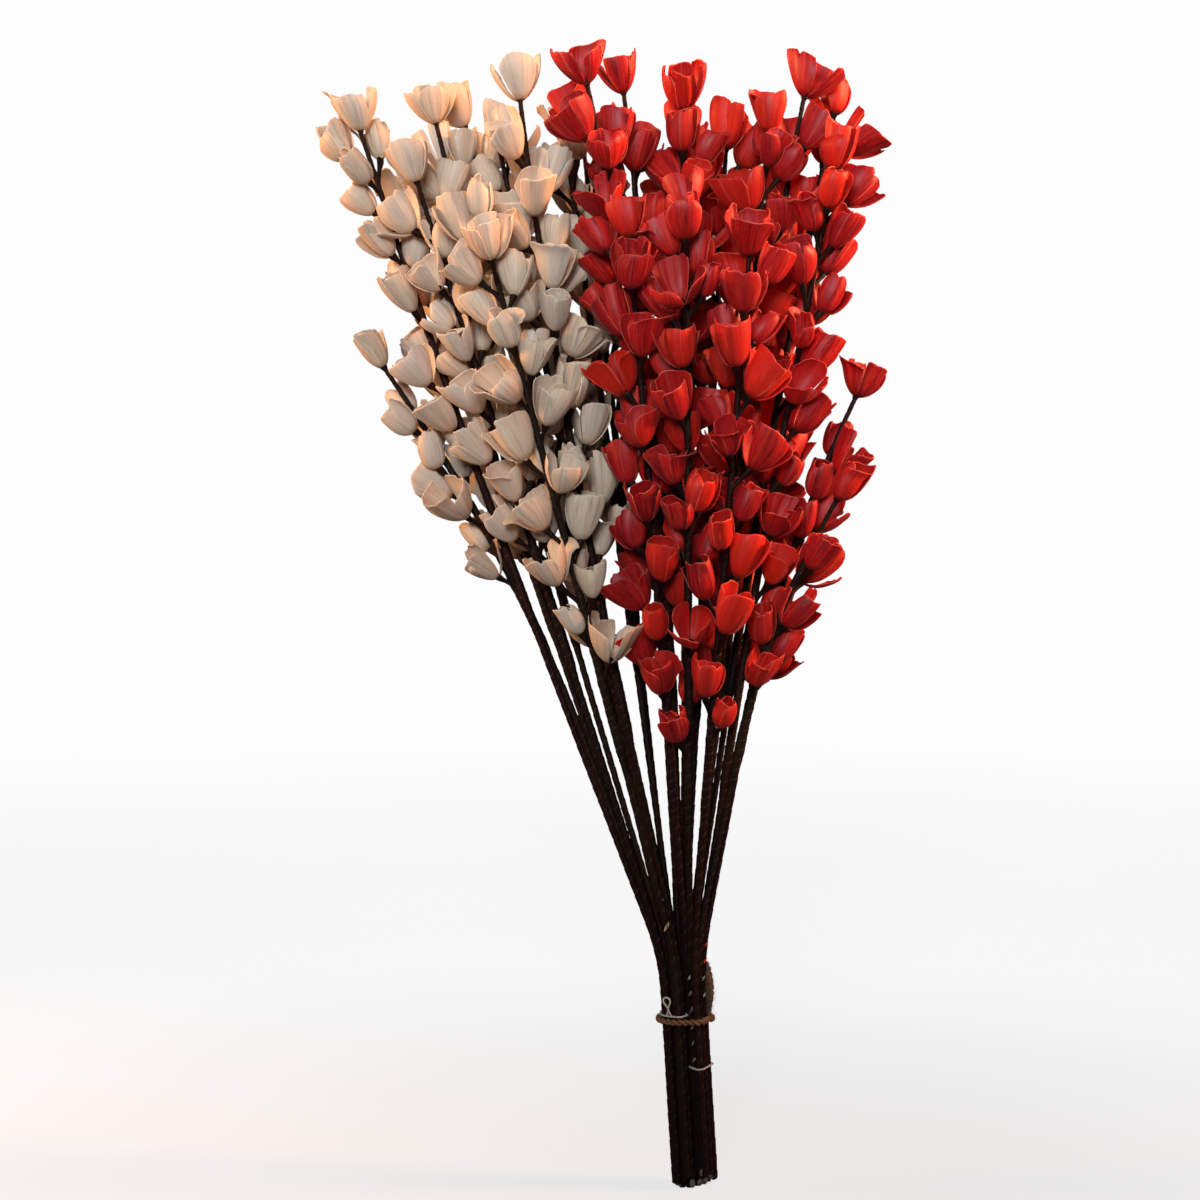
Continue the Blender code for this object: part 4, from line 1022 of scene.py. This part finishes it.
def drop(pile, centre, axis, radius, seed, material):
    """A small set drop of glue, squashed along its axis."""
    u, v = across(axis)
    verts, faces = [centre - axis * radius * 0.7], []
    rows, cols = 4, 8
    for r in range(rows):
        a = math.pi * (r + 1) / (rows + 1)
        for c in range(cols):
            b = 2 * math.pi * c / cols
            wob = 1 + 0.12 * math.sin(2 * b + seed)
            verts.append(centre - axis * radius * 0.7 * math.cos(a) + radius * wob * math.sin(a) * (math.cos(b) * u + math.sin(b) * v))
    verts.append(centre + axis * radius * 0.7)
    top = len(verts) - 1
    for c in range(cols):
        faces.append((0, 1 + (c + 1) % cols, 1 + c))
        faces.append((top, 1 + (rows - 1) * cols + c, 1 + (rows - 1) * cols + (c + 1) % cols))
    for r in range(rows - 1):
        for c in range(cols):
            a, b = 1 + r * cols + c, 1 + r * cols + (c + 1) % cols
            faces.append((a, b, b + cols, a + cols))
    pile.add(verts, faces, material, wind=np.array(verts), lap=0.4, tint=0.5)


def hermite(p0, p1, t0, t1, n):
    s = np.linspace(0, 1, n)[:, None]
    return ((2 * s ** 3 - 3 * s ** 2 + 1) * p0 + (s ** 3 - 2 * s ** 2 + s) * t0
            + (-2 * s ** 3 + 3 * s ** 2) * p1 + (s ** 3 - s ** 2) * t1)


def line_of(s):
    """The stick's line with two directions across it, for many heights at once."""
    def where(z):
        p = s.at(z)
        t = s.along(z)
        a = np.cross([0.0, 1.0, 0.0], t)
        a /= np.linalg.norm(a, axis=-1, keepdims=True)
        return p, a, np.cross(t, a)
    return where


# ---------------------------------------------------------------- the bunch
sticks = make_sticks()
flowers = place_flowers(sticks)
FRONT = -math.pi / 2

# two sticks at the front whose tape has slipped, so that the bamboo shows between its turns
def nearest(x, z):
    """The stick that stands foremost at this place, seen from the front."""
    row = [(float(s.at(z)[1]) + 3.0 * abs(float(s.at(z)[0]) - x), s) for s in sticks if s.foot_z < 0.05]
    return min(row, key=lambda q: q[0])[1]


SLIPPED = {nearest(-0.0020, 0.120).name: ((0.1062, 0.0046), (0.1197, 0.0044), (0.1330, 0.0034), (0.1465, 0.0062), (0.1598, 0.0042), (0.1735, 0.0034)),
           nearest(0.0100, 0.180).name: ((0.1570, 0.0024), (0.1730, 0.0038), (0.1875, 0.0040), (0.2010, 0.0054)),
           nearest(-0.0220, 0.210).name: ((0.2110, 0.0046),)}
print("slipped tape on", sorted(SLIPPED))

LOOSE_STICK = [s for s in sticks if s.loose][0]
LOOSE_LINE = (LOOSE_STICK.at(LOOSE_STICK.foot_z), LOOSE_STICK.along(0.5))
LOOSE_HEADS = [f for f in flowers if f["stick"] == LOOSE_STICK.index]


def middle(f):
    return f["base"] + f["axis"] * f["length"] * 0.55


def beside_path(f):
    """Whether the loose stem's heads come close to this head when the stem is drawn."""
    for g in LOOSE_HEADS:
        off = middle(f) - middle(g)
        off = off - LOOSE_LINE[1] * float(np.clip(off @ LOOSE_LINE[1], 0, DRAW))
        if np.linalg.norm(off) < f["radius"] + g["radius"] + 0.010:
            return True
    return False


for s in sticks:
    rng = np.random.RandomState(300 + s.index)
    colour = ("red", "white")[s.colour == "w"]
    number = s.name[-2:]
    body = "loose_stem" if s.loose else "bunch"
    tint = rng.rand()

    # the stick
    pile = Pile()
    pitch = rng.uniform(0.0105, 0.0130)
    phase0 = None
    gaps = {}
    if s.name in SLIPPED:
        pitch = 0.0134
        phase0 = 0.0
        red_ones = s.name[0] == "r" and s.at(0.18)[0] > 0.004
        for z_at, height in SLIPPED[s.name]:
            # the turn whose edge faces the viewer nearest to this height
            k = int(round((z_at - s.foot_z) / pitch + 1.5 - 1.0 - 0.75))
            gaps[k] = (height, FRONT, 1.0 if (red_ones and z_at > 0.185) else 0.0)
    away = rng.uniform(0, 2 * math.pi)
    steep = rng.uniform(0.15, 0.9) if rng.rand() < 0.7 else 0.05
    slant = (steep * math.cos(away), steep * math.sin(away))
    if float(s.foot[1]) < 0.004 and float(s.foot[0]) > -0.002:
        slant = (rng.uniform(-0.3, 0.3), -rng.uniform(1.0, 1.7))
    if s.foot_z == 0.0 and float(np.hypot(*s.foot)) < 0.007:
        slant = (0.0, 0.0)
    taped_tube(pile, line_of(s), s.foot_z, s.joint_z, lambda z: 0.00262 + 0 * z, pitch, rng, tint=tint, slant=slant,
               gaps=gaps, phase0=phase0, seed=float(s.index))
    ob = pile.make("%s_stick_%s_taped" % (colour, number), [TAPE, BARE, CUT])
    close_ends(ob, 2)
    settle(ob, body, "taped_stick", "%s_stick_%s" % (colour, number))

    # the bound stem with its twigs, and the petals
    mine = sorted([f for f in flowers if f["stick"] == s.index], key=lambda f: f["root"][2])
    stem = Pile()
    bottom = s.joint_z - SOCKET_DEEP
    knots = np.array([float(f["root"][2]) for f in mine if not f["tip"]])

    def stem_size(z, s=s, knots=knots, bottom=bottom):
        z = np.asarray(z, float)
        sleeve = 0.00275 + 0.0010 * smooth01((z - bottom) / 0.016)
        grown = s.stem_r(z) + 0.0001
        r = np.where(z < s.joint_z, sleeve, sleeve + (grown - sleeve) * smooth01((z - s.joint_z) / 0.02))
        lump = np.exp(-((z[..., None] - knots + 0.001) / 0.0042) ** 2).max(-1) if len(knots) else 0
        return r * (1 + 0.13 * lump)

    taped_tube(stem, line_of(s), bottom, s.tip_z - 0.0005, stem_size, rng.uniform(0.0068, 0.0086), rng, cols=10, step=0.00015, tint=tint,
               seed=50.0 + s.index)
    petals = Pile()
    for f in mine:
        fr = np.random.RandomState(7000 + f["seed"])
        base, axis, root = f["base"], f["axis"], f["root"]
        t = s.along(float(root[2]))
        far = float(np.linalg.norm(base - root))
        if f["tip"]:
            start, t0 = s.at(s.tip_z - 0.010), t * 0.012
        else:
            start, t0 = root - t * 0.005, t * far * 0.9
        end = base + axis * 0.0030
        points = hermite(start, end, t0, axis * far * 0.9 if not f["tip"] else axis * 0.010, 10)
        sh = np.linspace(0, 1, 10)
        r_in = 0.0019 if not f["tip"] else float(s.stem_r(s.tip_z))
        r_in = max(r_in, 0.0020)
        radii = r_in + (0.00185 - r_in) * smooth01(sh / 0.45)
        radii = radii + fr.uniform(0.0009, 0.0017) * smooth01((sh - 0.55) / 0.25) - 0.0006 * smooth01((sh - 0.88) / 0.12)
        soft_tube(stem, points, radii, 8, tint=np.clip(tint + fr.uniform(-0.2, 0.2), 0, 1), seed=float(f["seed"]))
        if fr.rand() < (0.16 if s.colour == "r" else 0.07):
            out = unit(np.array([fr.uniform(-1, 1), fr.uniform(-1.2, 0.3), 0.1]))
            out = unit(out - axis * (out @ axis))
            drop(stem, base + out * 0.0026 + axis * fr.uniform(-0.001, 0.002), unit(out + axis * 0.3), fr.uniform(0.0010, 0.0017), float(f["seed"]), 1)
        calm = s.loose or beside_path(f)
        head_petals(petals, fr, base, axis, f["length"], f["radius"] * (0.97 if s.colour == "r" else 0.94) * (0.95 if calm else 1.0), f["kind"],
                    (0.0, 0.75) if s.colour == "r" else (0.40, 1.0), calm, None if s.loose else LOOSE_LINE)
    ob = stem.make("%s_stem_%s_bound" % (colour, number), [TAPE, GLUE])
    close_ends(ob)
    settle(ob, body, "taped_stick", "%s_spray_%s" % (colour, number))
    ob = petals.make("%s_petals_%s" % (colour, number), [PETAL_W if s.colour == "w" else PETAL_R])
    settle(ob, body, ("red", "white")[s.colour == "w"] + "_palm_leaf", "%s_spray_%s" % (colour, number))


# ---------------------------------------------------------------- ties
def closed_curve(points, n):
    """The same closed line, rounded and with even steps."""
    p = np.asarray(points, float)
    for _ in range(2):                                         # corner cutting keeps it inside the corners
        q = np.roll(p, -1, 0)
        p = np.stack([0.75 * p + 0.25 * q, 0.25 * p + 0.75 * q], 1).reshape(-1, 3)
    q = np.vstack([p, p[:1]])
    run = np.concatenate([[0], np.cumsum(np.linalg.norm(np.diff(q, axis=0), axis=1))])
    at = np.linspace(0, run[-1], n, endpoint=False)
    return np.stack([np.interp(at, run, q[:, k]) for k in range(3)], -1), run[-1]


def open_curve(points, n):
    p = np.asarray(points, float)
    for _ in range(3):
        a, b = p[:-1], p[1:]
        p = np.vstack([p[:1], np.stack([0.75 * a + 0.25 * b, 0.25 * a + 0.75 * b], 1).reshape(-1, 3), p[-1:]])
    run = np.concatenate([[0], np.cumsum(np.linalg.norm(np.diff(p, axis=0), axis=1))])
    at = np.linspace(0, run[-1], n)
    return np.stack([np.interp(at, run, p[:, k]) for k in range(3)], -1), run[-1]


def rope(pile, line, closed, ref, total, strands, away, thick, pitch, cols, seed, material=0, taper=False, tint=0.0):
    """Strands laid round each other along a line, each one a closed tube of its own."""
    m = len(line)
    if closed:
        t = np.roll(line, -1, 0) - np.roll(line, 1, 0)
    else:
        t = np.gradient(line, axis=0)
    t /= np.linalg.norm(t, axis=1, keepdims=True)
    side = np.cross(ref, t)
    side /= np.linalg.norm(side, axis=1, keepdims=True)
    up = np.cross(t, side)
    turns = total / pitch
    if closed:
        turns = round(turns)
    s = np.arange(m) / (m if closed else m - 1)
    rng = np.random.RandomState(seed)
    for k in range(strands):
        w = 2 * math.pi * (turns * s + k / strands)
        shrink = np.ones(m) if not taper else 1 - 0.55 * smooth01((s - 0.86) / 0.14)
        centre = line + (away * shrink * np.cos(w))[:, None] * side + (away * shrink * np.sin(w))[:, None] * up
        a = 2 * math.pi * np.arange(cols) / cols
        wob = 1 + 0.05 * np.sin(2 * math.pi * rng.uniform(5, 9) * s[:, None] * (2 if not closed else 1) * 1.0 + a[None] * 2 + k) * (0 if closed else 1)
        yarn = 1 + 0.055 * np.cos(3 * (a[None, :] + w[:, None] * 1.0))
        r = thick * shrink[:, None] * yarn * wob
        d = np.cos(a[None, :] + w[:, None])[..., None] * side[:, None] + np.sin(a[None, :] + w[:, None])[..., None] * up[:, None]
        v = centre[:, None] + r[..., None] * d
        faces = []
        for i in range(m if closed else m - 1):
            n = (i + 1) % m
            for j in range(cols):
                l = (j + 1) % cols
                faces.append((i * cols + j, i * cols + l, n * cols + l, n * cols + j))
        if not closed:
            faces.append(tuple(range(cols)))
            faces.append(tuple((m - 1) * cols + j for j in reversed(range(cols))))
        run = s * total
        lay = np.stack([np.broadcast_to(thick * np.cos(a)[None] + k * 0.3, (m, cols)), np.broadcast_to(thick * np.sin(a)[None], (m, cols)),
                        np.broadcast_to(run[:, None], (m, cols)) + seed], -1).reshape(-1, 3)
        # the side of a strand that lies against the other one is the groove, where the materials paint shade
        hollow = smooth01((np.cos(a) * -1.0 - 0.15) / 0.7)
        pile.add(v.reshape(-1, 3), faces, material, lay=lay, hollow=np.tile(hollow, m), tint=tint)
    return side, up, t


def hairs(pile, line, side, up, t, reach, count, seed, long=(0.003, 0.008), thin=0.00006, material=0, tint=0.2, keep=None):
    """Stray fibres standing off the rope."""
    rng = np.random.RandomState(seed)
    m = len(line)
    for _ in range(count):
        i = rng.randint(m)
        w = rng.uniform(0, 2 * math.pi)
        out = math.cos(w) * side[i] + math.sin(w) * up[i]
        if keep is not None and not keep(out):
            out = -out
        go = unit(t[i] * rng.choice((-1, 1)) + out * rng.uniform(0.15, 0.75))
        size = rng.uniform(*long)
        bow = rng.uniform(-0.3, 0.3) * np.cross(go, out)
        pts = [line[i] + out * reach * 0.86 + go * size * q + (out * 0.15 + bow) * size * q * q for q in (0, 0.33, 0.66, 1.0)]
        verts = []
        a, b = across(go)
        for q, p in enumerate(pts):
            r = thin * (1 - 0.28 * q)
            for c in range(3):
                verts.append(p + r * (math.cos(2.094 * c) * a + math.sin(2.094 * c) * b))
        faces = [(3 * q + c, 3 * q + (c + 1) % 3, 3 * q + 3 + (c + 1) % 3, 3 * q + 3 + c) for q in range(3) for c in range(3)]
        faces += [(2, 1, 0), (9, 10, 11)]
        pile.add(verts, faces, material, lay=np.array(verts), hollow=0.0, tint=tint)


UP = np.array([0.0, 0.0, 1.0])
band_line = foot_ring(sticks, "wr", BAND_Z, BAND_R, 30)
line, total = closed_curve(band_line, 240)
pile = Pile()
side, up, t = rope(pile, line, True, UP, total, 2, 0.00118, 0.00138, 0.0105, 12, 3)
hairs(pile, line, side, up, t, BAND_R, 150, 5, (0.003, 0.006), keep=lambda out: out[2] > 0.0)
ob = pile.make("jute_band_rope", [JUTE])
settle(ob, "jute_tie", "jute", "jute_band")

right = band_line[int(band_line[:, 0].argmax())]
side_x = max(float(s.at(0.182)[0]) for s in sticks if abs(s.foot[1]) < 0.009)
bow_foot = np.array([right[0] + 0.0008, -0.002, BAND_Z + BAND_R + 0.0026])
bow_up = unit(np.array([(side_x + 0.0080) - bow_foot[0], -0.003, 0.046]))
bow_out = unit(np.array([0.50, -1.0, 0.0]) - bow_up * float(np.array([0.50, -1.0, 0.0]) @ bow_up))
bow_line = loop_line(bow_foot, bow_out, bow_up, 0.0031, 0.0056, 0.044, 18)
near = int(np.linalg.norm(line - bow_foot, axis=1).argmin())
hitch_at, hitch_out, hitch_go = line[near], side[near], t[near]
if hitch_out[0] < 0:
    hitch_out = -hitch_out
# the loop lies flat against the side of the sticks: its inner leg touches them, its outer leg bulges away
seen_out = unit(np.array([1.0, -0.62, 0.0]))


def side_edge(z):
    """How far right the sticks reach at this height, where the bow leans on them."""
    return max(float(s.at(z)[0]) for s in sticks if abs(s.foot[1]) < 0.009) + 0.0026


pile = Pile()
outer = np.repeat([1.0, 0.0], 14)
rise = np.concatenate([np.linspace(0.01, 0.99, 14), np.linspace(0.99, 0.01, 14)])
bulge = np.sin(math.pi * np.clip((rise - 0.06) / 0.94, 0, 1)) ** 0.7
for k, (tall, wide, inward, deep) in enumerate(((0.0395, 0.0038, 0.0003, 0.0072), (0.0335, 0.0020, 0.0009, 0.0030))):     # the bow's twine lies double
    bow_z = bow_foot[2] - 0.0012 + rise * tall
    edge_x = np.array([side_edge(float(q)) for q in bow_z])
    bow_line = np.stack([edge_x + inward + wide * outer * bulge,
                         deep - 0.0002 - (0.0070 if k == 0 else 0.0066) * outer * bulge + 0 * rise, bow_z], -1)
    line, total = closed_curve(bow_line, 170)
    side, up, t = rope(pile, line, True, np.cross(seen_out, bow_up), total, 2, 0.00080, 0.00120, 0.0100, 12, 8 + 3 * k, tint=0.95)
    hairs(pile, line, side, up, t, 0.0018, 170, 9 + 5 * k, long=(0.003, 0.008), thin=0.00009, tint=0.95)
for k, (shift, tilt) in enumerate(((-0.0012, 0.35), (0.0013, 0.10))):      # the hitch that holds the bow to the band
    w = np.radians(np.linspace(-122, 122, 12))
    # its lower end is tucked into the band, clear of the string below
    reach = (BAND_R + 0.0007) * (0.30 + 0.70 * smooth01((np.degrees(w) + 62) / 40))
    pts = [hitch_at + hitch_out * far * math.cos(q) + UP * far * math.sin(q)
           + hitch_go * (shift + tilt * 0.004 * math.sin(q)) for q, far in zip(w, reach)]
    wrap, long = open_curve(pts, 60)
    side, up, t = rope(pile, wrap, False, hitch_go, long, 2, 0.00052, 0.00072, 0.0062, 10, 30 + k)
    hairs(pile, wrap, side, up, t, 0.0012, 16, 40 + k, (0.002, 0.005), keep=lambda out: out[2] > 0.0)
ob = pile.make("jute_bow_rope", [JUTE])
settle(ob, "jute_tie", "jute", "jute_bow")

for name, colours, z, node, body, seed in (("white_group_string_twist", "w", WHITE_STRING_Z, "white_group_string", "white_tie", 14),
                                           ("red_group_string_twist", "r", RED_STRING_Z, "red_group_string", "red_tie", 15)):
    line, total = closed_curve(foot_ring(sticks, colours, z, STRING_R, 26), 260)
    outward = line - line.mean(0)
    line = line + outward / np.linalg.norm(outward, axis=1, keepdims=True) * 0.00034
    pile = Pile()
    side, up, t = rope(pile, line, True, UP, total, 2, 0.00036, 0.00046, 0.0034, 8, seed)
    hairs(pile, line, side, up, t, STRING_R, 40, seed + 1, (0.0015, 0.004), 0.00003, keep=lambda out: (out[2] < 0.0) == (colours == "r"))
    ob = pile.make(name, [COTTON])
    settle(ob, body, "string", node)

white_line, _ = closed_curve(foot_ring(sticks, "w", WHITE_STRING_Z, STRING_R, 26), 260)
front = white_line[int((white_line @ np.array([-0.30, -1.0, 0])).argmax())]
ahead = [p for p in white_line if p[1] < white_line[:, 1].mean()]
front = min(ahead, key=lambda p: abs(p[0] - (front[0] - 0.0060)))
drop_foot = np.array([front[0], front[1] - 0.0004, WHITE_STRING_Z + 2 * STRING_R + 0.0002])
drop_out, drop_up = np.array([1.0, 0, 0]), unit(np.array([0.0, -0.25, 1.0]))
face = np.cross(drop_out, drop_up)
ways = [(0.0016, -0.0014), (0.0004, 0.0006), (-0.0006, 0.0036), (-0.0020, 0.0064), (-0.0039, 0.0092), (-0.0051, 0.0117), (-0.0047, 0.0137),
        (-0.0025, 0.0145), (-0.0003, 0.0133), (0.0007, 0.0108), (0.0001, 0.0079), (-0.0010, 0.0056), (-0.0013, 0.0030), (-0.0010, 0.0006), (-0.0024, -0.0012)]
pts = [drop_foot + drop_out * a + drop_up * b + face * (0.0006 if k < 6 else -0.0004) for k, (a, b) in enumerate(ways)]
line, total = open_curve(pts, 120)
pile = Pile()
side, up, t = rope(pile, line, False, face, total, 2, 0.00036, 0.00046, 0.0034, 8, 21)
hairs(pile, line, side, up, t, STRING_R, 16, 22, (0.001, 0.003), 0.00003)
ob = pile.make("white_string_loop_twist", [COTTON])
settle(ob, "white_tie", "string", "white_string_loop")

# ---------------------------------------------------------------- floor, light and camera
mat, nt, b = tree("pale_floor")
where = nt.nodes.new("ShaderNodeNewGeometry").outputs["Position"]
soft = noise(nt, where, 1.4, 4.0, 0.5)
fine = noise(nt, where, 220.0, 2.0, 0.5)
link(nt, ramp(nt, soft, [(0.3, (0.40, 0.400, 0.400)), (0.7, (0.42, 0.420, 0.422))]), b.inputs["Base Color"])
link(nt, span(nt, fine, 0.3, 0.7, 0.75, 0.88), b.inputs["Roughness"])
apart = nt.nodes.new("ShaderNodeVectorMath")
apart.operation = "LENGTH"
link(nt, where, apart.inputs[0])
link(nt, ramp(nt, soft, [(0.3, (1.0, 1.0, 1.0)), (0.7, (0.99, 0.99, 1.0))]), b.inputs["Emission Color"])
glow = span(nt, apart.outputs["Value"], 0.1, 1.1, 0.72, 0.87)      # a bright studio sweep, seen but not a lamp
glow = calc(nt, "ADD", glow, span(nt, apart.outputs["Value"], 1.0, 6.0, 0.0, 0.08))
link(nt, calc(nt, "MULTIPLY", glow, nt.nodes.new("ShaderNodeLightPath").outputs["Is Camera Ray"]), b.inputs["Emission Strength"])
b.inputs["Specular IOR Level"].default_value = 0.1
mesh = bpy.data.meshes.new("pale_floor")
size = 9.0
mesh.from_pydata([(-size, -size, 0), (size, -size, 0), (size, size, 0), (-size, size, 0)], [], [(0, 1, 2, 3)])
mesh.materials.append(mat)
floor = bpy.data.objects.new("pale_floor", mesh)
bpy.context.scene.collection.objects.link(floor)

world = bpy.data.worlds.new("studio")
bpy.context.scene.world = world
world.use_nodes = True
wt = world.node_tree
back = wt.nodes["Background"]
back.inputs["Color"].default_value = (1.0, 0.99, 0.98, 1.0)
back.inputs["Strength"].default_value = 0.100
bright = wt.nodes.new("ShaderNodeBackground")                 # the white wall behind, seen but not a lamp
bright.inputs["Color"].default_value = (1.0, 1.0, 1.0, 1.0)
bright.inputs["Strength"].default_value = 0.98
seen = wt.nodes.new("ShaderNodeLightPath")
either = wt.nodes.new("ShaderNodeMixShader")
wt.links.new(seen.outputs["Is Camera Ray"], either.inputs[0])
wt.links.new(back.outputs[0], either.inputs[1])
wt.links.new(bright.outputs[0], either.inputs[2])
wt.links.new(either.outputs[0], wt.nodes["World Output"].inputs["Surface"])


def soft_box(name, place, aim, size, power, colour, spread):
    data = bpy.data.lights.new(name, "AREA")
    data.shape = "RECTANGLE"
    data.size, data.size_y = size
    data.energy = power
    data.color = colour
    data.spread = math.radians(spread)
    ob = bpy.data.objects.new(name, data)
    bpy.context.scene.collection.objects.link(ob)
    ob.location = place
    ob.rotation_euler = (Vector(aim) - Vector(place)).to_track_quat("-Z", "Y").to_euler()
    return ob


soft_box("front_soft", (-0.22, -2.4, 1.15), (-0.04, 0, 1.02), (0.6, 0.6), 5.5, (0.97, 0.98, 1.0), 58)
soft_box("left_warm", (-1.50, -0.05, 1.15), (-0.22, 0, 0.90), (0.5, 0.8), 2.95, (1.0, 0.47, 0.20), 36)
soft_box("right_warm", (1.45, -0.12, 1.30), (0.12, 0, 0.86), (0.5, 0.8), 5.8, (1.0, 0.46, 0.22), 40)

cam_data = bpy.data.cameras.new("camera")
cam = bpy.data.objects.new("camera", cam_data)
bpy.context.scene.collection.objects.link(cam)
cam.location = (-0.03, -1.9, 0.508)
cam.rotation_euler = (math.pi / 2 - math.atan2(0.508 - 0.476, 1.9), 0.0, 0.0)
cam_data.sensor_width = 36.0
cam_data.lens = 36 * 1.9 / (1200 * 0.000793) * 0.98
cam_data.shift_x = (-(697 - 600) / 1200 + 0.03 / (1200 * 0.000793)) * 0.98
cam_data.clip_start = 0.05
bpy.context.scene.camera = cam
bpy.context.scene.view_settings.view_transform = "Standard"
